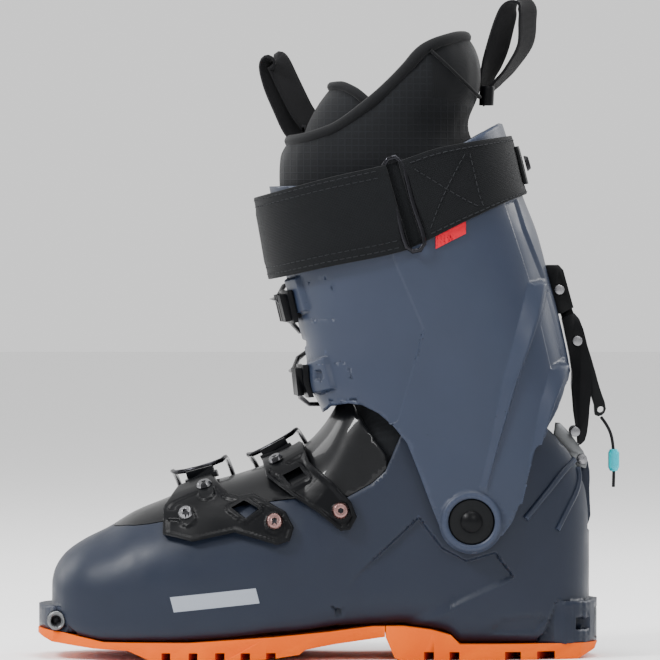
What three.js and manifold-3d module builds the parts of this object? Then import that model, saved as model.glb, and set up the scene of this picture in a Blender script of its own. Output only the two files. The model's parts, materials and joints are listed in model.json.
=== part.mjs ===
// A right-foot alpine touring ski boot: a navy clog and a hinged cuff, four wire buckles with toothed
// ladders, a power strap, a walk-mode lock arm at the heel, a soft inner boot and a lugged rubber sole.
// Millimetres. +X runs from toe to heel, +Y is the outer (lateral) side, +Z is up.
// The origin is on the ground, straight below the cuff's ankle pivot.
import * as THREE from "three";
import Module from "manifold-3d";
import { mergeVertices } from "three/addons/utils/BufferGeometryUtils.js";

const wasm = await Module();
wasm.setup();

// ---------- driving sizes ----------
const sole_length = 306; // toe end to heel end of the sole
const ankle_setback = 69.8; // heel end to the cuff pivot
const ankle_height = 75.7; // ground to the cuff pivot
const forefoot_width = 114; // widest point of the clog
const ankle_width = 92; // clog between the cuff's wings
const cuff_rise = 216; // pivot to the tip of the rear spoiler
const cuff_top_width = 124;
const sole_end_width = 69; // standard toe and heel ledges
const shell_wall = 4;
const cuff_wall = 4;
const liner_wall = 5.6;
const collar_wall = 8;
const gap = 0.4; // clearance between pieces that touch
const strap_thickness = 2.5;
const pivot_disc_radius = 12.2;
const pivot_bolt_radius = 4;
const wire_radius = 1.3;
const cord_radius = 0.9;

const toe_x = ankle_setback - sole_length;
const heel_x = ankle_setback;
const throat_x = -80; // behind this, places are measured from the pivot
const fore_design = 156.2; // toe to throat as drawn
const fore_stretch = (throat_x - toe_x) / fore_design;
const fore = (from_toe) => toe_x + from_toe * fore_stretch;
const ball_half = forefoot_width / 2;
const ankle_half = ankle_width / 2;
const low_rise = 62; // the cuff below this height over the pivot keeps its shape
const drawn_rise = 216;
const rise_stretch = (cuff_rise - low_rise) / (drawn_rise - low_rise);
// Height above the ground of a point drawn at height z on a cuff of the drawn rise.
const up = (z) => {
  const above = z - ankle_height;
  return above < low_rise ? z : ankle_height + low_rise + (above - low_rise) * rise_stretch;
};

// ---------- solids ----------
function geometryFrom(corners) {
  const places = new THREE.Float32BufferAttribute(corners, 3);
  return new THREE.BufferGeometry().setAttribute("position", places);
}

function solidOf(geometry) {
  const flat = geometry.index ? geometry.toNonIndexed() : geometry;
  const bare = new THREE.BufferGeometry().setAttribute("position", flat.getAttribute("position"));
  const merged = mergeVertices(bare, 1e-4);
  const mesh = new wasm.Mesh({
    numProp: 3,
    vertProperties: new Float32Array(merged.attributes.position.array),
    triVerts: new Uint32Array(merged.index.array),
  });
  return new wasm.Manifold(mesh);
}

function geometryOf(solid) {
  const mesh = solid.getMesh();
  const positions = new Float32Array(mesh.numVert * 3);
  for (let i = 0; i < mesh.numVert; i++) {
    for (let k = 0; k < 3; k++) positions[3 * i + k] = mesh.vertProperties[mesh.numProp * i + k];
  }
  const indexed = new THREE.BufferGeometry()
    .setAttribute("position", new THREE.BufferAttribute(positions, 3))
    .setIndex(new THREE.BufferAttribute(new Uint32Array(mesh.triVerts), 1));
  const flat = indexed.toNonIndexed();
  flat.computeVertexNormals();
  return flat;
}

const middle = (ring) => ring.reduce((s, p) => s.add(p), new THREE.Vector3()).divideScalar(ring.length);

// A closed skin over rings of points, all of the same count, with a fan over each end.
function loftSolid(rings) {
  const count = rings[0].length;
  const corners = [];
  // Rings given the other way round are turned, so that the faces always look outwards.
  const centre = middle(rings[0]);
  const turn = new THREE.Vector3()
    .crossVectors(rings[0][0].clone().sub(centre), rings[0][Math.floor(count / 4)].clone().sub(centre))
    .dot(middle(rings[rings.length - 1]).sub(centre));
  const triangle = (a, b, c) =>
    corners.push(...a.toArray(), ...(turn > 0 ? b : c).toArray(), ...(turn > 0 ? c : b).toArray());
  for (let i = 0; i + 1 < rings.length; i++) {
    for (let k = 0; k < count; k++) {
      const next = (k + 1) % count;
      triangle(rings[i][k], rings[i][next], rings[i + 1][next]);
      triangle(rings[i][k], rings[i + 1][next], rings[i + 1][k]);
    }
  }
  const first = rings[0];
  const last = rings[rings.length - 1];
  for (let k = 0; k < count; k++) {
    const next = (k + 1) % count;
    triangle(middle(first), first[next], first[k]);
    triangle(middle(last), last[k], last[next]);
  }
  return solidOf(geometryFrom(corners));
}

// A side-view outline, given as x and z, made solid between two widths.
function slab(shape, y_low, y_high, curve_steps = 3) {
  const geometry = new THREE.ExtrudeGeometry(shape, {
    depth: y_high - y_low,
    bevelEnabled: false,
    curveSegments: curve_steps,
  });
  geometry.rotateX(Math.PI / 2);
  geometry.translate(0, y_high, 0);
  return solidOf(geometry);
}

const point2 = (p) => new THREE.Vector2(p[0], p[1]);
const polygon = (points) => new THREE.Shape(points.map(point2));
const curved = (points) => {
  const shape = new THREE.Shape();
  shape.moveTo(...points[0]);
  shape.splineThru(points.slice(1).map(point2));
  return shape;
};

function disc(x, z, radius, y_low, y_high, sides = 32) {
  const geometry = new THREE.CylinderGeometry(radius, radius, y_high - y_low, sides);
  geometry.translate(x, (y_low + y_high) / 2, 0);
  geometry.translate(0, 0, z);
  return solidOf(geometry);
}

function box(x_low, x_high, y_low, y_high, z_low, z_high) {
  const geometry = new THREE.BoxGeometry(x_high - x_low, y_high - y_low, z_high - z_low);
  geometry.translate((x_low + x_high) / 2, (y_low + y_high) / 2, (z_low + z_high) / 2);
  return solidOf(geometry);
}

// A plain geometry set down in a local frame: its x, y and z along the frame's axes.
function placed(geometry, frame, along = 0, toward = 0, lift = 0) {
  const at = frame.at
    .clone()
    .addScaledVector(frame.across, along)
    .addScaledVector(frame.toward, toward)
    .addScaledVector(frame.out, lift);
  const matrix = new THREE.Matrix4().makeBasis(frame.across, frame.toward, frame.out).setPosition(at);
  return solidOf(geometry.clone().applyMatrix4(matrix));
}

function tube(points, radius, sides = 8, steps = 24, closed = false) {
  const circle = new THREE.Shape();
  circle.absarc(0, 0, radius, 0, 2 * Math.PI);
  const path = new THREE.CatmullRomCurve3(points, closed, "centripetal");
  return solidOf(
    new THREE.ExtrudeGeometry(circle, {
      steps,
      extrudePath: path,
      curveSegments: sides / 2,
      bevelEnabled: false,
    }),
  );
}

// ---------- outer forms ----------
// Between two table rows, every column is taken in proportion.
function tableAt(rows, key) {
  let i = 0;
  while (i < rows.length - 2 && key > rows[i + 1][0]) i++;
  const [a, b] = [rows[i], rows[i + 1]];
  const share = Math.min(1, Math.max(0, (key - a[0]) / (b[0] - a[0])));
  return a.map((value, k) => value + (b[k] - value) * share);
}

// Clog, toe to heel: place, half-width, bottom, top, height of the widest line as a share.
const clog_rows = [
  ...[
    [7.4, 9, 22, 42, 0.45],
    [8.4, 19, 19, 46.5, 0.45],
    [11, 28, 17, 52, 0.44],
    [15.6, 36, 14.5, 57.5, 0.42],
    [25, 44, 12, 64, 0.4],
    [38, 50, 9.8, 70.5, 0.38],
    [53, 54, 9.6, 79.5, 0.36],
    [70, 56.3, 9.6, 86.5, 0.34],
    [88, 57, 10.2, 94, 0.33],
    [110, 56.4, 12, 100, 0.33],
    [130, 54.4, 14.5, 107.2, 0.33],
    [146, 51.7, 15.6, 116, 0.34],
  ].map(([d, half, low, high, wide]) => [fore(d), (half * ball_half) / 57, low, high, wide]),
  ...[
    [-80, 49.6, 17, 126.5, 0.35],
    [-67, 47.6, 18.2, 147, 0.36],
    [-55, 46.4, 18.4, 160, 0.37],
    [-38, 46, 18.4, 168, 0.38],
    [-14, 46, 14.5, 168, 0.38],
    [-5, 46, 8.7, 168, 0.38],
    [15, 45, 8.7, 168, 0.38],
    [27, 43, 8.7, 152, 0.38],
    [38, 39.4, 8.7, 136, 0.38],
    [49, 33.6, 8.7, 125, 0.38],
    [56, 28, 9, 116, 0.4],
    [61, 21.5, 10, 104, 0.42],
    [64, 14, 12, 92, 0.45],
    [65.3, 6, 18, 80, 0.5],
  ].map(([x, half, low, high, wide]) => [x, (half * ankle_half) / 46, low, high, wide]),
];
const toe_round = 40; // length over which the toe's skin turns inwards
const heel_round_from = 20;

function clogSection(x, grow, floor_raise, t) {
  const [, half, low, high, wide] = tableAt(clog_rows, x);
  const mid = low + (high - low) * wide;
  const top = Math.max(high + grow, mid + 2);
  // Towards the toe tip the layers of the floor close up together.
  const bottom = low + floor_raise * Math.min(1, (mid - low) / 26);
  const width = Math.max(half + grow, 2);
  const [c, s] = [Math.cos(t), Math.sin(t)];
  const tall = THREE.MathUtils.clamp((x + 90) / 40, 0, 1);
  const power = s >= 0 ? 2.3 + 1.3 * tall : 3.2;
  const y = width * Math.sign(c) * Math.abs(c) ** (2 / power);
  const z = mid + (s >= 0 ? top - mid : mid - bottom) * Math.sign(s) * Math.abs(s) ** (2 / power);
  // The two ends move in as the skin shrinks.
  const toe_share = THREE.MathUtils.clamp(1 - (x - toe_x) / (toe_round * fore_stretch), 0, 1);
  const heel_share = THREE.MathUtils.clamp((x - heel_round_from) / (heel_x - 4.5 - heel_round_from), 0, 1);
  return new THREE.Vector3(x - grow * toe_share + grow * heel_share, y, z);
}

// The outer skin is finely drawn; the skins inside it, with less than no growth, are coarser.
function clogForm(grow, floor_raise = -grow) {
  const fine = grow >= 0;
  const [upper, lower] = fine ? [16, 8] : [8, 6];
  const angles = [
    ...Array.from({ length: upper }, (_, k) => (Math.PI * k) / upper),
    ...Array.from({ length: lower }, (_, k) => Math.PI + (Math.PI * k) / lower),
  ];
  const last = clog_rows.length - 1;
  const rows = clog_rows.filter((_, i) => fine || i % 2 === 0 || i === last);
  return loftSolid(rows.map(([x]) => angles.map((t) => clogSection(x, grow, floor_raise, t))));
}

// Cuff, bottom to top: height, front, rear, half-width, squareness.
const cuff_rows = [
  [54, -62, 60, 53, 4],
  [76, -68, 60, 53, 4],
  [100, -74, 60, 53.4, 4],
  [120, -79, 59, 53.6, 4],
  [134, -81.5, 57, 54, 3.8],
  [150, -88.5, 55.8, 54.5, 3.4],
  [164, -90.2, 53.6, 55.2, 3.1],
  [186, -95.6, 48.8, 56.8, 2.8],
  [206, -100.7, 43.6, 58.3, 2.6],
  [231, -105.2, 37, 60, 2.5],
  [256, -109.7, 27.6, 61.3, 2.45],
  [276, -113, 22.6, 62, 2.45],
  [300, -116.5, 15, 62.6, 2.45],
].map(([z, front, rear, half, square]) => {
  const widen = THREE.MathUtils.clamp((z - 134) / (256 - 134), 0, 1);
  return [up(z), front, rear, half + ((cuff_top_width - 122.6) / 2) * widen + (ankle_half - 46), square];
});

// A horizontal section; angle 0 is the front and a quarter turn is the lateral side.
function ovalPoint(rows, z, grow, angle) {
  const [, front, rear, half, square] = tableAt(rows, z);
  const middle = (front + rear) / 2;
  const depth = Math.max((rear - front) / 2 + grow, 2);
  const [c, s] = [Math.cos(angle), Math.sin(angle)];
  return new THREE.Vector3(
    middle - depth * Math.sign(c) * Math.abs(c) ** (2 / square),
    Math.max(half + grow, 2) * Math.sign(s) * Math.abs(s) ** (2 / square),
    z,
  );
}

function ovalForm(rows, grow, sides = grow >= 0 ? 28 : 20) {
  const angles = Array.from({ length: sides }, (_, k) => (2 * Math.PI * k) / sides);
  return loftSolid(rows.map(([z]) => angles.map((a) => ovalPoint(rows, z, grow, a))));
}
const cuffForm = (grow) => ovalForm(cuff_rows, grow);

// ---------- clog ----------
const clog_top_radius = 64.5; // the clog's upper edge, round the pivot, under the cuff
const pivot = [0, ankle_height];
const ringPoint = (radius, degrees) => {
  const a = THREE.MathUtils.degToRad(degrees);
  return [pivot[0] + radius * Math.cos(a), pivot[1] + radius * Math.sin(a)];
};
// The line where the clog's plastic ends and the throat cover begins.
const throat_line = [
  [fore(42), 71.5],
  [fore(61), 73.2],
  [fore(110), 83.6],
  [fore(143), 88],
  [-68.4, 88],
  [-53.7, 96.2],
  [-46.6, 102.7],
  [-39.5, 119],
];

function clogKeep() {
  const shape = new THREE.Shape();
  shape.moveTo(toe_x - 15, -5);
  shape.lineTo(toe_x - 15, 71.5);
  throat_line.forEach(([x, z]) => shape.lineTo(x, z));
  const start = THREE.MathUtils.degToRad(122);
  const end = THREE.MathUtils.degToRad(-6);
  shape.absarc(pivot[0], pivot[1], clog_top_radius, start, end, true);
  shape.lineTo(heel_x + 15, ringPoint(clog_top_radius, -6)[1]);
  shape.lineTo(heel_x + 15, -5);
  return slab(shape, -90, 90, 14);
}

const ledge_half = sole_end_width / 2;
// A plate seen from above, from x_inner to a rounded end at x_end.
function ledge(x_inner, x_end, half, z_low, z_high, corner) {
  const toward = Math.sign(x_end - x_inner);
  const shape = new THREE.Shape();
  shape.moveTo(x_inner, -half + 3);
  shape.lineTo(x_end - toward * corner, -half);
  shape.quadraticCurveTo(x_end - toward * 2, -half + 3, x_end, 0);
  shape.quadraticCurveTo(x_end - toward * 2, half - 3, x_end - toward * corner, half);
  shape.lineTo(x_inner, half - 3);
  const geometry = new THREE.ExtrudeGeometry(shape, {
    depth: z_high - z_low,
    bevelEnabled: false,
    curveSegments: 8,
  });
  geometry.translate(0, 0, z_low);
  return solidOf(geometry);
}
const toe_ledge = { low: 15, high: 29, inner: fore(22), corner: 22 };
const heel_ledge = { low: 8.7, high: 32, inner: heel_x - 34, corner: 24 };
const pin_socket = { x: fore(10.5), z: 21 };
const heel_slot = { x: heel_x - 12.5, y: 20, low: 16.7, high: 23 };

// The narrow rib up the back of the clog that carries the heel catch.
const spine_half = 7;
const catch_half = 8.2;
const catch_pivot = [61.3, 108];
function spine() {
  return slab(
    curved([
      [40, 80],
      [58, 70],
      [65.6, 74],
      [65.4, 90],
      [65.6, 101],
      [63.2, 108.6],
      [58.2, 115],
      [52.6, 119],
      [47, 119.6],
      [42, 112],
    ]),
    -spine_half,
    spine_half,
    2,
  );
}

function lowerShell() {
  let shell = clogForm(0)
    .subtract(clogForm(-shell_wall, 8))
    .intersect(clogKeep());
  const cavity = clogForm(-shell_wall, 8);
  shell = shell
    .subtract(box(42, 80, -catch_half - gap, catch_half + gap, 99, 140))
    .add(spine().subtract(cavity))
    .subtract(disc(...catch_pivot, pin_radius + 0.3, -20, 20, 12));
  const toe = ledge(toe_ledge.inner, toe_x, ledge_half, toe_ledge.low, toe_ledge.high, toe_ledge.corner);
  const { inner, low, high, corner } = heel_ledge;
  const heel = ledge(inner, heel_x, ledge_half, low, high, corner);
  shell = shell.add(toe.subtract(cavity)).add(heel.subtract(cavity));
  shell = shell.subtract(toeFitting(gap)).subtract(heelFitting(gap));
  // A slot in each side of the heel ledge.
  for (const side of [-1, 1]) {
    const [near, far] = side > 0 ? [heel_slot.y, 60] : [-60, -heel_slot.y];
    shell = shell.subtract(box(heel_slot.x, heel_slot.x + 9, near, far, heel_slot.low, heel_slot.high));
  }
  shell = shell.subtract(outsoleBlank(gap));
  // Cuff pivot holes, and the forefoot and instep screw holes.
  shell = shell.subtract(disc(0, ankle_height, pivot_bolt_radius + gap, -60, 60, 20));
  for (const anchor of [forefoot_anchor, instep_anchor]) {
    shell = shell.subtract(screwSolid(anchor, 1.8 + gap, 0, -8, 0));
  }
  return shell;
}

// ---------- sole ----------
// Bottom of the clog and top of the rubber, as seen from the side.
function outsoleBlank(extra) {
  const top = [
    [toe_x - 1 - extra, 12],
    [toe_x - 1 - extra, 16.5 + extra],
    [fore(14), 14.7 + extra],
    [fore(37), 10 + extra],
    [fore(83), 10 + extra],
    [fore(129), 12.9 + extra],
    [throat_x + 3.4, 15.6 + extra],
    [-53.7, 18.4 + extra],
    [-36.4, 18.4 + extra],
    [-21.5, 16.6 + extra],
    [-11, 13.7 + extra],
    [-6, 8.7 + extra],
    [heel_x + 1 + extra, 8.7 + extra],
    [heel_x + 1 + extra, -3],
    [toe_x - 1 - extra, -3],
  ];
  return slab(polygon(top), -70, 70).intersect(solePlan(extra));
}

// The sole seen from above.
function solePlan(extra) {
  const half = [
    [0, 12],
    [3, 25],
    [9, 32],
    [20, 34.5],
    [40, 40],
    [62, 45],
    [90, 46.5],
    [125, 41],
    [156, 35],
  ].map(([d, w]) => [fore(d), w]);
  half.push([-50, 32], [-20, 33.5], [10, 34.5], [45, 34.5], [60, 30], [67, 20], [heel_x, 10]);
  const shape = new THREE.Shape();
  half.forEach(([x, w], i) => (i ? shape.lineTo(x, w + extra) : shape.moveTo(x, w + extra)));
  [...half].reverse().forEach(([x, w]) => shape.lineTo(x, -w - extra));
  const geometry = new THREE.ExtrudeGeometry(shape, { depth: 40, bevelEnabled: false });
  geometry.translate(0, 0, -5);
  return solidOf(geometry);
}

const sole_split_x = -46.5;
const groove_depth = 4.5;
function outsole(front) {
  const ground_line = [
    [toe_x, 13.5],
    [fore(8), 9.5],
    [fore(31), 6.5],
    [fore(50), 5.6],
    [fore(60), 1.2],
    [fore(64), 0],
    [fore(96), 0],
    [fore(128), 1.2],
    [fore(143), 3.5],
    [fore(146), 6],
    [throat_x + 6, 9],
    [-56, 11.5],
    [sole_split_x, 12.8],
    [-41.5, 1.4],
    [-38, 0],
    [58, 0],
    [68, 5],
    [heel_x, 9],
  ];
  const shape = polygon([...ground_line, [heel_x + 2, 40], [toe_x - 2, 40]]);
  let sole = outsoleBlank(0).intersect(slab(shape, -70, 70));
  // Grooves across the lugs.
  const grooves = front
    ? [76, 91, 105, 118, 131].map((d) => [fore(d), 4.5])
    : [
        [-22, 5],
        [-8, 5],
        [24, 8],
        [42, 9],
      ];
  for (const [x, width] of grooves) {
    for (const side of [-1, 1]) {
      const cut = new THREE.BoxGeometry(width, 34, 2 * groove_depth);
      cut.rotateZ(side * 0.35);
      cut.translate(x, side * 31, 0);
      sole = sole.subtract(solidOf(cut));
    }
  }
  const keep = front
    ? box(toe_x - 20, sole_split_x - gap / 2, -80, 80, -10, 60)
    : box(sole_split_x + gap / 2, heel_x + 20, -80, 80, -10, 60);
  return sole.intersect(keep);
}

// ---------- binding fittings ----------
function toeFitting(extra) {
  // A steel bar across the toe, with a cone in each end for a pin binding.
  const reach = 33 + (extra ? 20 : 0);
  let bar = disc(pin_socket.x, pin_socket.z, 5 + extra, -reach, reach, 16);
  if (extra) return bar;
  for (const side of [-1, 1]) {
    const cone = new THREE.ConeGeometry(2.6, 5, 16);
    cone.rotateX(side < 0 ? 0 : Math.PI);
    cone.translate(pin_socket.x, side * (reach - 2.4), pin_socket.z);
    bar = bar.subtract(solidOf(cone));
  }
  return bar;
}

function heelFitting(extra) {
  const [low, high] = [11, 27];
  const rear = heel_x + (extra ? 9 : -0.5);
  let plate = box(heel_x - 4 - extra, rear, -11 - extra, 11 + extra, low - extra, high + extra);
  if (extra) return plate;
  for (const side of [-1, 1]) {
    const slot = side * 6.5;
    plate = plate.subtract(box(heel_x - 5, heel_x + 2, slot - 1.6, slot + 1.6, low - 1, high - 7));
  }
  return plate;
}

// ---------- throat cover ----------
const cover_thickness = 5.9;
const under_lap = 8;
const cover_top_radius = 97;
function throatCover() {
  const above = (drop) => {
    const shape = new THREE.Shape();
    const line = throat_line.map(([x, z]) => [x + drop * 0.3, z + gap - drop]);
    shape.moveTo(line[0][0] - (drop > gap ? drop : gap) - 0.2, line[0][1] - 0.01);
    line.forEach(([x, z]) => shape.lineTo(x, z));
    shape.lineTo(-36, 124);
    shape.lineTo(-36, 200);
    shape.lineTo(line[0][0] - (drop > gap ? drop : gap) - 0.2, 200);
    return slab(shape, -90, 90);
  };
  const skin = clogForm(0, 0).subtract(clogForm(-cover_thickness, 12));
  const lip = clogForm(-shell_wall - gap, 9).subtract(clogForm(-cover_thickness, 12));
  const front_only = new THREE.Shape();
  front_only.moveTo(toe_x, 60);
  front_only.lineTo(toe_x, 145);
  front_only.lineTo(ringPoint(cover_top_radius, 134)[0], ringPoint(cover_top_radius, 134)[1]);
  front_only.lineTo(-58, 128);
  front_only.lineTo(-46, 112);
  front_only.lineTo(-46, 88);
  front_only.lineTo(-60, 60);
  return skin
    .intersect(above(0))
    .add(lip.intersect(above(under_lap)))
    .intersect(slab(front_only, -90, 90));
}

// ---------- buckles ----------
// A strip of a surface, run round the boot: where it is at t, and the frame there.
// "toward" points at the ladder, "out" off the surface, "across" along the hinge pins.
function stripOn(pointAt) {
  return (t, lift = 0) => {
    const step = 0.01;
    const toward = pointAt(t + step).sub(pointAt(t - step)).normalize();
    const beside = pointAt(t, step).sub(pointAt(t, -step)).normalize();
    const out = new THREE.Vector3().crossVectors(toward, beside).normalize();
    const across = new THREE.Vector3().crossVectors(toward, out).normalize();
    return { at: pointAt(t).addScaledVector(out, lift), toward, out, across };
  };
}

// On the clog: t runs from 0 at the lateral side over the top to a half turn at the medial side.
const clogStrip = (top_x, sweep) =>
  stripOn((t, shift = 0) => clogSection(top_x + sweep * (1 - Math.sin(t)) + shift * 10, 0, 0, t));
// On the cuff: t runs from the lateral side to the front and on to the medial side.
const cuffStrip = (z, slope) =>
  stripOn((t, shift = 0) => ovalPoint(cuff_rows, z + slope * t + shift * 10, 0, Math.PI / 2 - t));

const lever_height = 8.2; // hinge pin above the shell
const pin_radius = 1.6;
const lever_width = 19;
const bail_width = 30;
const lever_reach = 42;
const barrel_share = 0.34; // how far down the lever the wire's barrel sits

function buckle(strip, t_hinge, t_tip, t_ladder, skinOf) {
  const hinge = strip(t_hinge, lever_height);
  const tip = strip(t_tip, 9);
  const down = tip.at.clone().sub(hinge.at);
  down.addScaledVector(hinge.across, -down.dot(hinge.across)).normalize();
  const out = new THREE.Vector3().crossVectors(down, hinge.across).normalize();
  if (out.dot(hinge.out) < 0) out.negate();
  // The lever's own frame: its "toward" points back at the hinge.
  const lever = { at: hinge.at, toward: down.clone().negate(), out, across: hinge.across };
  const barrel_at = hinge.at
    .clone()
    .addScaledVector(down, lever_reach * barrel_share)
    .addScaledVector(out, 1.5);

  // Base: a plate bent to the shell, with two ears for the pin.
  const foot = strip(t_hinge, 0);
  let base = skinOf(gap, gap + 2.6).intersect(placed(new THREE.BoxGeometry(26, 20, 24), foot, 0, 5.5, 2));
  for (const side of [-1, 1]) {
    const ear = new THREE.BoxGeometry(2.4, 8, 11);
    const ring = new THREE.CylinderGeometry(4, 4, 2.4, 12).rotateZ(Math.PI / 2);
    base = base.add(placed(ear, hinge, side * 11.4, 0, -4.2)).add(placed(ring, hinge, side * 11.4));
  }
  const bore = new THREE.CylinderGeometry(pin_radius + 0.3, pin_radius + 0.3, 40, 8).rotateZ(Math.PI / 2);
  base = base.subtract(placed(bore, hinge)).subtract(skinOf(-6, gap - 0.05));

  const rod = new THREE.CylinderGeometry(pin_radius, pin_radius, 25.4, 8).rotateZ(Math.PI / 2);
  const pin = placed(rod, hinge);

  // Lever: a hinge barrel, a plate with a lifted tip, and a clear place for the wire's barrel.
  const plate = new THREE.Shape();
  plate.moveTo(-lever_width / 2, 0);
  plate.lineTo(-lever_width / 2, -lever_reach + 12);
  plate.quadraticCurveTo(-lever_width / 2 + 1, -lever_reach + 1, 0, -lever_reach);
  plate.quadraticCurveTo(lever_width / 2 - 1, -lever_reach + 1, lever_width / 2, -lever_reach + 12);
  plate.lineTo(lever_width / 2, 0);
  const plate_geometry = new THREE.ExtrudeGeometry(plate, {
    depth: 3.2,
    bevelEnabled: false,
    curveSegments: 3,
  });
  plate_geometry.translate(0, 0, -3.4);
  const barrel = new THREE.CylinderGeometry(3.6, 3.6, lever_width, 12).rotateZ(Math.PI / 2);
  const lip = new THREE.BoxGeometry(lever_width * 0.62, 3, 3.4);
  let body = placed(plate_geometry, lever)
    .add(placed(barrel, lever))
    .add(placed(lip, lever, 0, -lever_reach + 4, 0.6));
  for (const side of [-1, 1]) {
    const cheek = new THREE.BoxGeometry(2.4, 11, 7.5);
    body = body.add(placed(cheek, lever, side * (lever_width / 2 - 1.2), -lever_reach * barrel_share, 0.6));
  }
  const seat = new THREE.CylinderGeometry(2.2, 2.2, 60, 8).rotateZ(Math.PI / 2);
  body = body
    .subtract(placed(bore, lever))
    .subtract(placed(seat, { ...lever, at: barrel_at }));

  // Bail: a wire that leaves the barrel, arches over the hinge and hooks behind a ladder tooth.
  const side_wire = (side) => {
    const points = [barrel_at.clone().addScaledVector(hinge.across, (side * bail_width) / 2)];
    const count = 6;
    for (let k = 1; k <= count; k++) {
      const share = k / count;
      const t = t_hinge + (t_ladder - t_hinge) * (0.05 + 0.95 * share);
      const arch = lever_height + 3.6 + 3 * Math.sin(Math.PI * share) - 2.6 * share;
      const here = strip(t, arch);
      const taper = k === count ? 0.78 : 1;
      points.push(here.at.clone().addScaledVector(here.across, (side * bail_width * taper) / 2));
    }
    return points;
  };
  const hook = strip(t_ladder + 0.035, lever_height + 0.4);
  const wire = [...side_wire(-1), hook.at.clone(), ...side_wire(1).reverse()];
  const cross = new THREE.CylinderGeometry(1.8, 1.8, bail_width + 2 * wire_radius, 8).rotateZ(Math.PI / 2);
  const bail = tube(wire, wire_radius, 6, 22).add(placed(cross, { ...hinge, at: barrel_at }));

  // Ladder: a bent plate with teeth on it, under the hook.
  const rack = strip(t_ladder, 0);
  const rack_block = placed(new THREE.BoxGeometry(18, 28, 24), rack, 0, 1, 4);
  const pad_block = placed(new THREE.BoxGeometry(14, 24, 24), rack, 0, 1, 2);
  let ladder = skinOf(gap + 2.6, gap + 5.2).intersect(rack_block);
  ladder = ladder.add(skinOf(gap, gap + 2.7).intersect(pad_block));
  for (const offset of [-9.5, -3.2, 4.6, 10.6]) {
    const tooth = new THREE.BoxGeometry(15, 2.2, 3.6);
    tooth.rotateX(-0.2);
    ladder = ladder.add(placed(tooth, strip(t_ladder, 0), 0, offset, 6.2));
  }
  return { base, pin, lever: body, bail, ladder, hinge: hinge.at, barrel: barrel_at, across: hinge.across };
}

// ---------- screws ----------
// A button-head screw at a frame: head and shank, with a drive recess.
function screwSolid(frame, shank, head, depth, lift, head_height = 2.2) {
  const length = lift - depth;
  const rod = new THREE.CylinderGeometry(shank, shank, length, 8).rotateX(Math.PI / 2);
  let screw = placed(rod, frame, 0, 0, (lift + depth) / 2);
  if (head) {
    const dome = new THREE.CylinderGeometry(head * 0.72, head, head_height, 14).rotateX(Math.PI / 2);
    const recess = new THREE.CylinderGeometry(head * 0.3, head * 0.3, head_height, 6).rotateX(Math.PI / 2);
    screw = screw
      .add(placed(dome, frame, 0, 0, lift + head_height / 2 - 0.05))
      .subtract(placed(recess, frame, 0, 0, lift + head_height));
  }
  return screw;
}

// A frame on the medial side of the clog at a side-view point.
function medialFrame(x, z) {
  let [low, high] = [Math.PI / 2, Math.PI * 1.2];
  for (let k = 0; k < 40; k++) {
    const t = (low + high) / 2;
    if (clogSection(x, 0, 0, t).z > z) low = t;
    else high = t;
  }
  const strip = stripOn((t, shift = 0) => clogSection(x + shift * 10, 0, 0, t));
  return strip((low + high) / 2);
}
const forefoot_anchor = medialFrame(fore(129.6), 74.5);
const instep_anchor = medialFrame(-71.4, 81.5);

// ---------- medial arms ----------
const arm_low = gap;
const arm_high = 4.6;
const clogSkin = (low, high) => clogForm(high, 0).subtract(clogForm(low, 3));

const forefoot_outline = [
  [fore(69), 83],
  [fore(69), 68.8],
  [fore(85), 65],
  [fore(108), 70],
  [fore(131), 63.2],
  [fore(138), 65.6],
  [fore(140), 72.5],
  [fore(135.5), 81],
  [fore(117.8), 90.6],
  [fore(110), 89.3],
  [fore(104), 90.6],
  [fore(94), 100],
  [fore(80), 98],
];
const instep_outline = [
  [fore(125), 99.5],
  [fore(140), 88.9],
  [-83.3, 80.8],
  [-70.8, 70.7],
  [-65.7, 71.4],
  [-62, 78.2],
  [-65.2, 86.3],
  [-75.2, 97],
  [-88, 108],
  [-91.5, 117],
  [fore(137), 121],
  [fore(122), 110],
];

function arm(outline, window, holes) {
  let plate = clogSkin(arm_low, arm_high).intersect(slab(polygon(outline), -90, -9));
  plate = plate.subtract(slab(polygon(window), -90, 0));
  for (const frame of holes) plate = plate.subtract(screwSolid(frame, 2.2, 0, -3, 12));
  return plate;
}

const forefoot_screws = [medialFrame(fore(82.5), 77), medialFrame(fore(92.3), 90.5)];
const instep_screws = [medialFrame(fore(132), 104.5)];
const forefoot_window = [
  [fore(106), 83],
  [fore(113), 87],
  [fore(121), 82.5],
  [fore(114), 77.5],
];
const instep_window = [
  [fore(134), 100.5],
  [fore(143), 105],
  [fore(147), 99.5],
  [fore(139), 95],
];

// ---------- cuff ----------
const cuff_front_edge = [
  [-109.7, 256.6],
  [-100.7, 206.3],
  [-95.6, 184.7],
  [-92.8, 174.6],
  [-89.2, 172.9],
  [-89, 170],
  [-90.9, 167],
  [-89.6, 161.7],
  [-88.1, 138.2],
  [-83.7, 135],
  [-80.5, 133.9],
];
const cuff_arch = [
  [-75.9, 138.2],
  [-67.5, 139.7],
  [-59.4, 138.9],
  [-50.2, 134.4],
  [-42.2, 127.5],
  [-34.7, 118.2],
  [-28.3, 102.2],
  [-21.5, 83.8],
  [-17.5, 74],
];
const cuff_rear_edge = [
  [16.6, 68],
  [22.2, 75.7],
  [27.4, 88.3],
  [33.8, 114.7],
  [38.4, 121.8],
  [47.1, 137.3],
  [50.3, 146.4],
  [54.4, 159],
  [70, 164],
];
const wing_radius = 17.5;
const cuff_top_line = [
  [70, 284],
  [21.2, 285],
  [18.8, 290.7],
  [15.4, 291.7],
  [-5.6, 280.3],
  [-30, 268],
  [-80, 258],
];

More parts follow.
